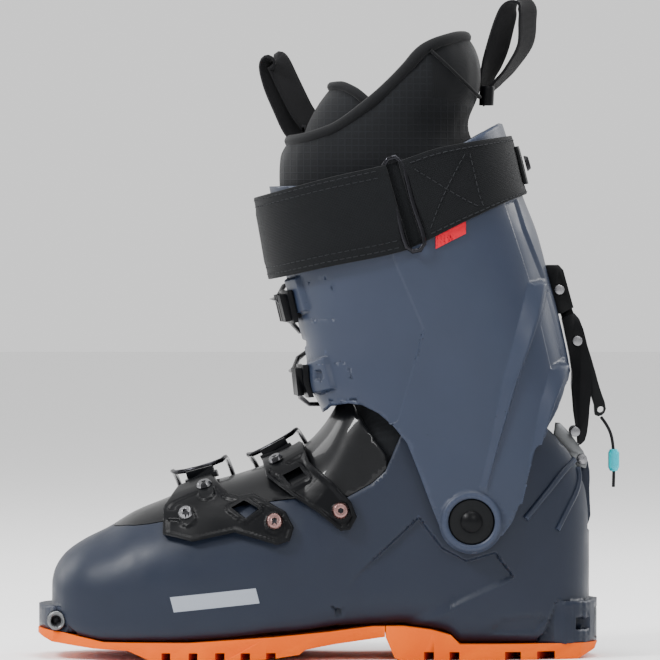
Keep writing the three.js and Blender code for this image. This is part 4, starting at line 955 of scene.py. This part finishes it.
class BOOT_OT_materials(bpy.types.Operator):
    """Make every finish of the boot"""

    bl_idname = "boot.materials"
    bl_label = "Materials"

    def execute(self, context):
        colors = context.scene.boot_colors
        navy, black, padding = (tuple(c) for c in (colors.shell, colors.hardware, colors.padding))
        # Painted shade: the clog takes the cuff's shell blue darkened to 0.58, as its walls get
        # less light than the cuff.
        self.printed_panel(moulded("navy_shell_painted_shade", lighter(navy, 0.58), 0.42, gloss=0.22))
        moulded("navy_cuff", navy, 0.42)
        moulded("black_moulding", black, 0.34, fleck=1.6, gloss=0.1)
        moulded("dull_black_moulding", (0.004, 0.0044, 0.005), 0.5, fleck=1.5, gloss=0.1)
        moulded("soft_black_cover", (0.0035, 0.0038, 0.0045), 0.36, fleck=1.4, grain=0.00001,
                gloss=0.1).set("Coat Weight", 0.25)
        moulded("orange_sole", tuple(colors.sole), 0.72, fleck=1.12, grain=0.00006,
                grain_scale=900, gloss=0.12)
        # Painted shade for the walls and roofs of the grooves between the sole's lugs.
        moulded("groove_painted_shade", (0.33, 0.012, 0.0), 0.75, grain=0.00006, grain_scale=900)
        moulded("grey_board", (0.1, 0.11, 0.12), 0.7)
        moulded("turquoise_bead", tuple(colors.bead), 0.3).set("Subsurface Weight", 0.08)
        metal("bright_steel", (0.15, 0.155, 0.16), 0.34)
        metal("turned_steel", (0.2, 0.2, 0.21), 0.28, brushed=(1, 4, 1))
        metal("copper_steel", (0.26, 0.15, 0.14), 0.26)
        metal("black_wire", (0.02, 0.02, 0.023), 0.26)
        metal("black_screw", (0.02, 0.02, 0.022), 0.42)
        woven("strap_webbing", (0.0035, 0.004, 0.0048), 1.3)
        woven("loop_webbing", (0.004, 0.004, 0.0048), 1.0, depth=0.00018)
        woven("red_patch", (0.5, 0.006, 0.02), 0.7, rough=0.7, depth=0.00005)
        woven("cord_braid", (0.012, 0.012, 0.014), 0.7, depth=0.0001)
        woven("stitching", (0.012, 0.013, 0.015), 0.5, depth=0.00004)
        ripstop("ripstop_fabric", padding, 3.7)
        woven("stretch_fabric", lighter(padding, 0.8), 0.9, source="Object", depth=0.00005,
              sheen=0.12)
        woven("lining_fabric", (0.012, 0.013, 0.015), 1.2, source="Object", depth=0.00008)
        woven("piping_fabric", (0.0045, 0.0048, 0.0055), 0.9, source="Object", depth=0.00006)
        return {"FINISHED"}

    def printed_panel(self, f):
        """A plain pale printed panel on the inner side of the clog, with no lettering."""
        forward, z_middle, half_length, half_height = 0.139, 0.0333, 0.0232, 0.0042
        place = f.add("ShaderNodeSeparateXYZ", {0: f.place.outputs["Object"]}).outputs
        along = f.maths("ADD", place["X"], forward)
        level = f.maths("SUBTRACT", place["Z"], f.maths("MULTIPLY", along, 0.105))
        above = f.maths("SUBTRACT", level, z_middle)
        slanted = f.maths("ADD", along, f.maths("MULTIPLY", above, 0.25))
        mask = f.maths("LESS_THAN", place["Y"], 0.0)
        for value, half in ((above, half_height), (slanted, half_length)):
            mask = f.maths(
                "MULTIPLY", mask, f.maths("LESS_THAN", f.maths("ABSOLUTE", value), half))
        f.blend(f.maths("MULTIPLY", mask, 0.55), (0.42, 0.46, 0.52))


class BOOT_OT_stage(bpy.types.Operator):
    """Set the floor, the soft lights and the camera"""

    bl_idname = "boot.stage"
    bl_label = "Stage"

    def execute(self, context):
        aim, lamp_aim = Vector((-0.0766, 0, 0.1785)), Vector((-0.05, 0, 0.15))
        lens, sensor, field = 420.0, 36.0, 0.3618
        distance = field / sensor * lens
        tilt = math.radians(1.2)
        camera = bpy.data.cameras.new("camera")
        camera.lens = lens
        camera.sensor_width = sensor
        camera.clip_start, camera.clip_end = 0.05, 20
        eye = bpy.data.objects.new("camera", camera)
        eye.location = aim + Vector((0, -math.cos(tilt), math.sin(tilt))) * distance
        self.point_at(eye, aim)
        context.scene.collection.objects.link(eye)
        context.scene.camera = eye

        deselect()
        bpy.ops.mesh.primitive_plane_add(size=14, location=(0, 0, 0))
        floor = context.object
        floor.name = "floor"
        f = Finish("floor_paint", (0.88, 0.88, 0.88), 0.75)
        f.rough(f.noise(6, 2), 0.7, 0.8)
        paint(floor, f.material)

        world = bpy.data.worlds.new("studio")
        world.use_nodes = True
        background = world.node_tree.nodes["Background"].inputs
        background["Color"].default_value = (1, 1, 1, 1)
        background["Strength"].default_value = 1.05
        context.scene.world = world
        for name, place, size, power in (
            ("key_light", (-1.15, -0.85, 1.25), 0.4, 36),
            ("side_light", (0.5, -1.5, 1.1), 0.35, 8),
            ("fill_light", (-1.6, 0.9, 0.8), 0.9, 14),
            ("top_light", (0.0, -0.1, 1.7), 0.8, 26),
            ("rim_light", (1.2, 0.9, 0.9), 0.6, 14),
        ):
            data = bpy.data.lights.new(name, "AREA")
            data.size = size
            data.energy = power
            lamp = bpy.data.objects.new(name, data)
            lamp.location = place
            self.point_at(lamp, lamp_aim)
            context.scene.collection.objects.link(lamp)
        return {"FINISHED"}

    def point_at(self, obj, aim):
        obj.rotation_euler = (aim - obj.location).to_track_quat("-Z", "Y").to_euler()


class BOOT_OT_pull_cord(bpy.types.Operator):
    """Braid the release lever's pull cord and turn its bead"""

    bl_idname = "boot.pull_cord"
    bl_label = "Pull cord and bead"

    def execute(self, context):
        route = [Vector((x, 0, z)) * MM for x, z in CORD_ROUTE]
        fine = []
        for a, b in zip(route, route[1:]):
            fine += [a.lerp(b, t / 3) for t in range(3)]
        fine.append(route[-1])
        for _ in range(3):
            inner = [(a + b * 2 + c) / 4 for a, b, c in zip(fine, fine[1:], fine[2:])]
            fine = [fine[0], *inner, fine[-1]]
        radius = 0.0009
        cord = piped("cord", fine, radius, sides=12, along=2)
        uv = cord.data.uv_layers.new(name="UVMap")
        for loop in cord.data.loops:
            p = cord.data.vertices[loop.vertex_index].co
            uv.data[loop.index].uv = (p.z, math.atan2(p.y, 0.001) * radius)
        done(cord, "release_lever", "cord_braid", node="pull_cord")
        bead = welded_copy("cord_bead", "bead")
        cut_finer(bead, 0.0012, 3)
        done(bevelled(bead, 0.0003, 30), "release_lever", "turquoise_bead")
        return {"FINISHED"}


class BOOT_OT_clog(bpy.types.Operator):
    """Round the clog's skin and raise its ribs and panels"""

    bl_idname = "boot.clog"
    bl_label = "Clog"

    def execute(self, context):
        clog = welded_copy("lower_shell", "clog")
        cut_finer(clog, SHELL_EDGE, 6)
        round_skin(unfaceted(clog, clog_shares), clog_level)
        lines = [(a, b) for a, b in lines_of(CLOG_PANELS + [(SIDE_FACET, 0, FACET_SLOPE)])
                 if max(a[0], b[0]) > FACET_END]
        round_skin(cut_near(clog, lines, clog_level), clog_level)
        outer = on_skin(clog, clog_level)
        square_sides(clog, outer)
        raised(clog, clog_level, clog_relief, outer)
        done(smooth(clog, SHARP), "shell", "navy_shell_painted_shade")
        for number, (route, radius) in enumerate(HEEL_RIBS):
            for side, which in SIDES:
                line = [self.on_wall(x, z, side) for x, z in route]
                one = piped(f"heel_rib_{number}_{which}", line, radius * MM, sides=12)
                done(one, "shell", "navy_shell_painted_shade", slot="navy_shell_plastic")
        cover = welded_copy("throat_cover", "throat_shield")
        cut_finer(cover, COVER_EDGE, 5)
        round_skin(unfaceted(cover, clog_shares), clog_level)
        done(smooth(cover, 40), "shell", "soft_black_cover")
        return {"FINISHED"}

    def on_wall(self, x, z, side):
        """The place on the clog's side wall at a side-view point."""
        half, low, high, wide = row_at(CLOG_ROWS, x)
        middle = low + (high - low) * wide
        up, power = (high - middle, ANKLE_POWER) if z > middle else (middle - low, WALL_POWER)
        reach = half * max(0.0, 1 - (abs(z - middle) / up) ** power) ** (1 / power)
        return Vector((x, side * reach, z)) * MM


class BOOT_OT_cuff(bpy.types.Operator):
    """Round the cuff's skin and raise its ridges"""

    bl_idname = "boot.cuff"
    bl_label = "Cuff"

    def execute(self, context):
        cuff = welded_copy("cuff_shell", "cuff_body")
        cut_finer(cuff, SHELL_EDGE, 6)
        self.level_blocks(unfaceted(cuff, cuff_shares))
        round_skin(cuff, cuff_level)
        cut_near(cuff, lines_of(CUFF_PANELS, (MAIN_RIB, REAR_RIB)), cuff_level)
        round_skin(cuff, cuff_level)
        raised(cuff, cuff_level, cuff_relief, on_skin(cuff, cuff_level))
        done(smooth(cuff, SHARP), "cuff", "navy_cuff")
        for side in ("medial", "lateral"):
            hard_piece(f"pivot_disc_{side}", "dull_black_moulding", 0.0006)
            hard_piece(f"pivot_bolt_{side}", "black_moulding", 0.0003, 45)
        return {"FINISHED"}

    def level_blocks(self, cuff):
        """Lay the plain blocks beside the ladders flat, to be raised again in true form."""
        co = points_mm(cuff)
        level, centre = cuff_level(co)
        x, y, z = co.T
        chosen = (level > 1.0015) & between(z, 130, 212) & (x < -50) & (y < -6)
        u, _, square, _, _ = cuff_shares(co, 0.0, smooth_rows)
        half = smooth_rows(CUFF_ROWS, co[:, 2])[:, 2]
        side = chosen & (u < 0.97)
        co[side, 1] = -(half * np.maximum(1 - u**square, 0) ** (1 / square))[side]
        front = chosen & ~side
        co[front] = projected(co, level, centre)[front]
        move_mm(cuff, co)
        edit_all(cuff)
        bpy.ops.mesh.remove_doubles(threshold=WELD * 10)
        bpy.ops.mesh.dissolve_degenerate(threshold=WELD * 10)
        to_triangles()


class BOOT_OT_soles(bpy.types.Operator):
    """Finish the rubber soles and the binding fittings"""

    bl_idname = "boot.soles"
    bl_label = "Soles and fittings"

    def execute(self, context):
        for node in ("forefoot_outsole", "heel_outsole"):
            sole = bevelled(flush_sole(welded_copy(node)), 0.0006, 30)
            done(sole, "shell", "orange_sole", "groove_painted_shade")
            self.shade_grooves(sole)
        low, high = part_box("toe_fitting")
        x, z = (low[0] + high[0]) / 2, (low[2] + high[2]) / 2
        self.toe_cups(x, z)
        # Painted shade in the hollows of the toe sockets.
        paint_hollow_shade(hard_piece("toe_fitting", "bright_steel", 0.0005), x, z, 0.003)
        hard_piece("heel_fitting", "bright_steel", 0.0005)
        return {"FINISHED"}

    def shade_grooves(self, sole):
        """Painted shade: darker red on the walls and roofs between the lugs, where shade falls."""
        plain_end = 14
        n, c = face_values(sole, "normal"), face_values(sole, "center") * 1000
        x, z = c[:, 0], c[:, 2]
        wall = (np.abs(n[:, 0]) > 0.6) & (z < 7)
        roof = (n[:, 2] < -0.7) & between(z, 2.2, 7.5)
        ends = (x < x.min() + plain_end) | (x > x.max() - plain_end)
        share_faces(sole, (wall | roof) & ~ends)

    def toe_cups(self, x, z):
        """A pressed steel cup round each toe socket, a little flat on its front."""
        radius, half_apart = 0.0043, 0.0332
        for side, which in SIDES:
            line = []
            for i in range(28):
                a = 2 * math.pi * i / 28
                flat = 1.0 if math.cos(a) > 0 else 0.82
                line.append(Vector((x + math.cos(a) * radius * flat, side * half_apart,
                                    z + math.sin(a) * radius)))
            cup = piped(f"toe_cup_{which}", line, 0.0010, closed=True, sides=12)
            done(cup, "shell", "bright_steel", slot="steel")


class BOOT_OT_buckles(bpy.types.Operator):
    """Finish the four buckles, their ladders and wires"""

    bl_idname = "boot.buckles"
    bl_label = "Buckles"

    def execute(self, context):
        for place in ("forefoot", "instep", "lower_cuff", "upper_cuff"):
            for part in ("buckle_base", "lever", "ladder"):
                hard_piece(f"{place}_{part}", "black_moulding", 0.0004)
            hard_piece(f"{place}_buckle_pin", "turned_steel", 0.0003)
            wire = welded_copy(f"{place}_bail")
            if place.endswith("cuff"):
                self.tuck(wire)
            done(smooth(wire, 70), f"{place}_bail", "black_wire")
        return {"FINISHED"}

    def tuck(self, wire):
        """Draw the wire's far end close over the toothed plate."""
        most_drawn, moved_in = 0.0098, 0.0035
        co = points_of(wire)
        middle = (co[:, 2].min() + co[:, 2].max()) / 2
        far_end = smoothstep(-0.052, -0.03, -co[:, 1])
        apart = co[:, 2] - middle
        drawn = np.minimum(np.abs(apart) * 0.67, most_drawn) * far_end
        co[:, 2] = middle + np.sign(apart) * (np.abs(apart) - drawn)
        co[:, 0] += moved_in * far_end
        move_points(wire, co)


class BOOT_OT_arms(bpy.types.Operator):
    """Finish the inner-side arms and their screws"""

    bl_idname = "boot.arms"
    bl_label = "Arms and screws"

    def execute(self, context):
        for node in ("forefoot_arm", "instep_arm"):
            plate = welded_copy(node)
            cut_finer(plate, ARM_EDGE, 8)
            self.sink_field(unfaceted(plate, clog_shares, ARM_BACK))
            done(smooth(plate, SHARP), "shell", "black_moulding")
        for finish, nodes in (
            ("copper_steel", ("forefoot_arm_screw", "instep_arm_screw")),
            ("turned_steel", ("forefoot_front_screw", "forefoot_rear_screw", "instep_top_screw")),
        ):
            for node in nodes:
                screw = hard_piece(node, finish, 0.0003)
                co = points_of(screw)
                x, _, z = (co.max(axis=0) + co.min(axis=0)) / 2
                # Painted shade in the screw's drive.
                paint_hollow_shade(screw, x, z, 0.0018)
        return {"FINISHED"}

    def sink_field(self, plate, rim=1.9, depth=1.0):
        """Sink a plate's outer face, but for a rim along its edges and windows."""
        edges = []
        bm = bmesh.new()
        bm.from_mesh(plate.data)
        for edge in bm.edges:
            if len(edge.link_faces) == 2 and edge.calc_face_angle(0) > 0.7:
                a, b = (vert.co * 1000 for vert in edge.verts)
                edges.append(((a.x, a.z), (b.x, b.z)))
        bm.free()
        co = points_mm(plate)
        level, centre = clog_level(co, ARM_FACE)
        outer = between(level, 0.99, 1.012)
        near = np.zeros(len(co))
        near[outer] = near_lines(co[outer][:, [0, 2]], edges)[0]
        out = co - centre
        out /= np.linalg.norm(out, axis=1)[:, None]
        move_mm(plate, co - out * (depth * smoothstep(rim, rim + 1.0, near) * outer)[:, None])


class BOOT_OT_lock(bpy.types.Operator):
    """Finish the walk-mode lock at the heel"""

    bl_idname = "boot.lock"
    bl_label = "Heel lock"

    def execute(self, context):
        for finish, width, nodes in (
            ("black_moulding", 0.0006, ("lock_housing", "lock_arm")),
            ("dull_black_moulding", 0.0007, ("release_lever",)),
            ("bright_steel", 0.0003, ("heel_catch",)),
            ("turned_steel", 0.0003, ("catch_rivet", "arm_pin", "lever_pin", "hook_pin")),
        ):
            for node in nodes:
                hard_piece(node, finish, width)
        return {"FINISHED"}


class BOOT_OT_inner_boot(bpy.types.Operator):
    """Pad the inner boot and roll its piping"""

    bl_idname = "boot.inner_boot"
    bl_label = "Inner boot"

    def execute(self, context):
        shaft = welded_copy("liner_cuff", "collar")
        puffed(shaft, 0.005, 3.0, 0.0012)
        modified(shaft, "SMOOTH", factor=0.5, iterations=4)
        smooth(modified(shaft, "SUBSURF", levels=1, render_levels=1), 60)
        done(shaft, "cuff", "ripstop_fabric", "lining_fabric", "stretch_fabric")
        self.share_fabrics(shaft)

        tongue = done(self.tongue(), "cuff", "ripstop_fabric", node="liner_tongue")

        foot = welded_copy("liner_foot", "inner_foot")
        puffed(foot, 0.006, 1.0, 0.0004)
        modified(foot, "SMOOTH", factor=0.5, iterations=3)
        done(foot, "shell", "lining_fabric")
        hard_piece("boot_board", "grey_board", 0.001)

        rim, inset = [], -2.6
        for i in range(72):
            angle = 2 * math.pi * i / 72
            z = climbed(COLLAR_ROWS, angle, COLLAR_TOP, inset, 25)
            rim.append(oval_reach(COLLAR_ROWS, angle, z - 0.8, inset) * MM)
        self.binding()
        radius = context.scene.boot_sizes.piping_radius
        piping = piped("collar_piping", rim, radius, closed=True, sides=12)
        done(piping, "cuff", "piping_fabric")
        return {"FINISHED"}

    def binding(self):
        """The taped seams where the stretch knit meets the ripstop, one on each side."""
        lift = 0.2
        for side, which in SIDES:
            line = []
            for x, z in COLLAR_SEAM:
                front, rear, half, square = row_at(COLLAR_ROWS, z)
                u = min(0.999, abs(x - (front + rear) / 2) / ((rear - front) / 2 + lift))
                y = side * (half + lift) * (1 - u**square) ** (1 / square)
                line.append(Vector((x, y, z)) * MM)
            tape = piped(f"collar_tape_{which}", line, 0.0009, sides=8)
            done(tape, "cuff", "piping_fabric", slot="liner_fabric")

    def tongue(self):
        """The tongue, curved round the shin, with a roll along its top."""
        columns, steps, foot, spread = 49, 24, 205, 104
        rows = []
        for i in range(columns):
            angle = math.radians(-spread + 2 * spread * i / (columns - 1))
            z = climbed(COLLAR_ROWS, angle, TONGUE_TOP, TONGUE_INSET, 20)
            row = []
            for k in range(steps + 1):
                height = foot + (z - foot) * k / steps
                swell = 1.6 * math.sin(math.pi * k / steps)
                grow = TONGUE_INSET - 4 * max(0, (k - 18) / 6) ** 2 + swell * 0.3
                row.append(oval_reach(COLLAR_ROWS, angle, height, grow) * MM)
            rows.append(row)
        body = thickened(sheet_of("tongue", rows), 0.0065, 1.0, 0.0022)
        roll = piped("tongue_roll", [row[-1] for row in rows[1:-1]], 0.0027, sides=12)
        done(roll, "cuff", "piping_fabric", slot="liner_fabric")
        return body

    def share_fabrics(self, shaft):
        """Lining inside, stretch knit high at the back, ripstop elsewhere."""
        co = face_values(shaft, "center") * 1000
        level, _ = oval_level(COLLAR_ROWS, co, -4.0)
        knit = (co[:, 0] > -22) & (co[:, 2] > 300 - 0.3 * co[:, 0]) & (level > 1)
        share_faces(shaft, np.where(level < 1, 1, np.where(knit, 2, 0)))


class BOOT_OT_strap(bpy.types.Operator):
    """Weave the power strap, sew its seams and finish its ring and tab"""

    bl_idname = "boot.strap"
    bl_label = "Power strap"

    def surface(self, angle, z, lift):
        """A point on the strap's bed: the cuff, stood off over the buckle flaps in front."""
        p = oval_reach(CUFF_ROWS, angle, z, 0.4 + lift)
        centre = self.centre(z)
        forward = max(0.0, math.cos(angle))
        reach = (p - Vector((centre, 0, z))).length + FLAP_ROOM * forward**1.6
        return Vector((centre - reach * math.cos(angle), reach * math.sin(angle), z))

    def centre(self, z):
        return row_at(CUFF_ROWS, z)[:2].sum() / 2

    def height(self, x, share):
        """The height of a share of the strap's width, at a place along the boot."""
        low, high = on_line(STRAP_LOWER, x), on_line(STRAP_UPPER, x)
        return low + (high - low) * share

    def band(self, name, start, end, lift, count=96, raised_by=(0, 0), wrap=0.0):
        """Webbing between two places, each an offset from the ring and a side of the boot."""
        wide = 15
        shares = [k / (wide - 1) for k in range(wide)]
        starts, ends = ([self.angle_at(share, *place, lift) for share in shares]
                        for place in (start, end))
        rows = []
        for i in range(count):
            row = []
            for share, first, last in zip(shares, starts, ends):
                angle = first + (last + wrap - first) * i / (count - 1)
                z = 250.0
                for _ in range(16):
                    z += (self.height(self.surface(angle, z, lift).x, share) - z) * 0.6
                extra = raised_by[0] if min(share, 1 - share) < 0.16 else raised_by[1]
                row.append(self.surface(angle, z, lift + extra) * MM)
            rows.append(row)
        return sheet_of(name, rows), rows

    def angle_at(self, share, offset, side, lift):
        """The angle round the cuff of a place beside the ring, at a share of the width."""
        x = RING_BOTTOM[0] + (RING_TOP[0] - RING_BOTTOM[0]) * share + offset
        z = self.height(x, share)
        centre = self.centre(z)
        angle = math.radians(90) * side
        for _ in range(14):
            p = self.surface(angle, z, lift)
            turn = (centre - x) / math.hypot(p.x - centre, p.y)
            angle = side * math.acos(max(-1, min(1, turn)))
        return angle

    def place_on(self, rows, i, share):
        """A place on a band, by its row and its share of the width, and the way out from it."""
        k = share * (len(rows[0]) - 1)
        a, b = int(i), min(int(i) + 1, len(rows) - 1)
        c, d = int(k), min(int(k) + 1, len(rows[0]) - 1)
        p = rows[a][c].lerp(rows[a][d], k - c).lerp(rows[b][c].lerp(rows[b][d], k - c), i - a)
        return p, Vector((p.x + 0.04, p.y, 0)).normalized()

    def sew(self, name, rows, seams, out):
        """Stitches along lines of a band, each from one row and share to another."""
        length = bpy.context.scene.boot_sizes.stitch_length
        made = []
        for number, (i1, share1, i2, share2) in enumerate(seams):
            i1, i2 = (i % len(rows) for i in (i1, i2))
            line = []
            for step in range(60):
                t = step / 59
                share = share1 + (share2 - share1) * t
                p, away = self.place_on(rows, i1 + (i2 - i1) * t, share)
                line.append(p + away * out * MM)
            made.append(dashes(f"{name}_{number}", line, length, 0.0012, 0.0003))
        done(join(made, name), "cuff", "stitching", slot="webbing")

    def execute(self, context):
        thick = context.scene.boot_sizes.strap_thickness
        # The bands' sheets face the boot, so an offset below nothing grows them outwards.
        front, rows = self.band("strap_around", (-3.2, -1), (24, 1), 0.5, raised_by=(0, 0.5))
        thickened(front, thick, -1.0)
        done(front, "cuff", "strap_webbing", node="strap_front")
        hems = [(2, share, -3, share) for share in (0.05, 0.13, 0.87, 0.95)]
        self.sew("front_seams", rows, hems, thick * 1000 + 0.1)
        back, rows = self.band(
            "strap_back", (-4, 1), (3.2, -1), 0.2, raised_by=(0.3, 0), wrap=2 * math.pi)
        thickened(back, thick * 0.8, -1.0)
        done(back, "cuff", "strap_webbing", node="strap_rear")
        hems = [(2, share, -3, share) for share in (0.06, 0.94)]
        crossed = [(-18, 0.12, -4, 0.88), (-18, 0.88, -4, 0.12), (-19, 0.08, -19, 0.92)]
        self.sew("rear_seams", rows, hems + crossed, thick * 800 + 0.25)
        for name, start, end, lift, count, depth, edge in (
            ("strap_bridge", -7, 7, -0.15, 12, 0.0012, 0.0002),
            ("front_fold", -10.5, -3.4, 2.3, 10, 0.0024, 0.0009),
            ("rear_fold", 3.4, 10, 2.3, 10, 0.0024, 0.0009),
        ):
            fold, _ = self.band(name, (start, -1), (end, -1), lift, count=count)
            thickened(fold, depth, -1.0, edge)
            done(fold, "cuff", "strap_webbing", slot="webbing")
        done(smooth(welded_copy("strap_ring", "ring"), 70), "cuff", "black_wire")
        tab = welded_copy("strap_tab", "sewn_tab")
        cut_finer(tab, 0.003, 3)
        round_skin(tab, cuff_level, (0.4, 1.6), (0.97, 0.985, 1.02))
        done(bevelled(tab, 0.0003, 45), "cuff", "red_patch")
        hard_piece("strap_plate", "dull_black_moulding", 0.0005)
        hard_piece("strap_screw", "black_screw", 0.0005)
        return {"FINISHED"}


class BOOT_OT_pull_loops(bpy.types.Operator):
    """Fold the two webbing loops at the top of the inner boot"""

    bl_idname = "boot.pull_loops"
    bl_label = "Pull loops"

    def ribbon(self, name, route):
        """Webbing that follows a closed side-view route, leaning as the route says."""
        points = [Vector((x, lean, z)) for x, z, lean in route]
        dense = []
        for i in range(len(points)):
            p0, p1, p2, p3 = (points[(i + k) % len(points)] for k in (-1, 0, 1, 2))
            for s in range(6):
                t = s / 6
                dense.append(0.5 * (2 * p1 + (p2 - p0) * t
                                    + (2 * p0 - 5 * p1 + 4 * p2 - p3) * t * t
                                    + (3 * p1 - p0 - 3 * p2 + p3) * t**3))
        total = len(dense)
        flat = [Vector((p.x, 0, p.z)) for p in dense]
        rows = []
        for i in range(total + 1):
            here, lean = flat[i % total], dense[i % total].y
            along = (flat[(i + 1) % total] - flat[(i - 1) % total]).normalized()
            side = Vector((lean, math.sqrt(1 - lean * lean), 0.3 * lean))
            wide = (side - along * side.dot(along)).normalized()
            rows.append([(here + wide * LOOP_WIDTH * (k / 6 - 0.5)) * MM for k in range(7)])
        loop = weld(sheet_of(name, rows), outward=True)
        return thickened(loop, LOOP_THICKNESS, 0.0, 0.0004)

    def execute(self, context):
        for name, node, route in (
            ("rear_loop", "rear_pull_loop", REAR_LOOP),
            ("front_loop", "front_pull_loop", FRONT_LOOP),
        ):
            done(self.ribbon(name, route), "cuff", "loop_webbing", node=node)
        self.clip()
        return {"FINISHED"}

    def clip(self):
        """The moulded clip that holds the rear loop's two ends together."""
        middle, half_length, half_width = 9.2, 2.9, 8.6
        rows = []
        for i in range(25):
            a = 2 * math.pi * i / 24
            c, s = (math.copysign(abs(way) ** 0.6, way) for way in (math.cos(a), math.sin(a)))
            rows.append([
                Vector((middle + half_length * c + 0.05 * (z - 306), half_width * s, z)) * MM
                for z in (301.5, 303, 305.5, 308, 310.5, 312)
            ])
        clip = thickened(weld(sheet_of("loop_clip", rows), outward=True), 0.0011, -1.0, 0.0003)
        done(clip, "cuff", "black_moulding", slot="black_plastic")


class BOOT_PT_panel(bpy.types.Panel):
    """Lists the steps that build the boot"""

    bl_idname = "BOOT_PT_panel"
    bl_label = "Ski boot"
    bl_space_type = "VIEW_3D"
    bl_region_type = "UI"
    bl_category = "Ski boot"

    def draw(self, context):
        layout = self.layout
        for group in (context.scene.boot_sizes, context.scene.boot_colors):
            for key in group.__annotations__:
                layout.prop(group, key)
        for step in STEPS:
            layout.operator(step.bl_idname)


STEPS = (
    BOOT_OT_materials,
    BOOT_OT_stage,
    BOOT_OT_pull_cord,
    BOOT_OT_clog,
    BOOT_OT_cuff,
    BOOT_OT_soles,
    BOOT_OT_buckles,
    BOOT_OT_arms,
    BOOT_OT_lock,
    BOOT_OT_inner_boot,
    BOOT_OT_strap,
    BOOT_OT_pull_loops,
)
CLASSES = (BOOT_PG_sizes, BOOT_PG_colors, *STEPS, BOOT_PT_panel)


def register():
    for cls in CLASSES:
        bpy.utils.register_class(cls)
    bpy.types.Scene.boot_sizes = PointerProperty(type=BOOT_PG_sizes)
    bpy.types.Scene.boot_colors = PointerProperty(type=BOOT_PG_colors)


def unregister():
    del bpy.types.Scene.boot_sizes
    del bpy.types.Scene.boot_colors
    for cls in reversed(CLASSES):
        bpy.utils.unregister_class(cls)


def main():
    register()
    for step in STEPS:
        group, name = step.bl_idname.split(".")
        getattr(getattr(bpy.ops, group), name)()


if __name__ == "__main__":
    main()
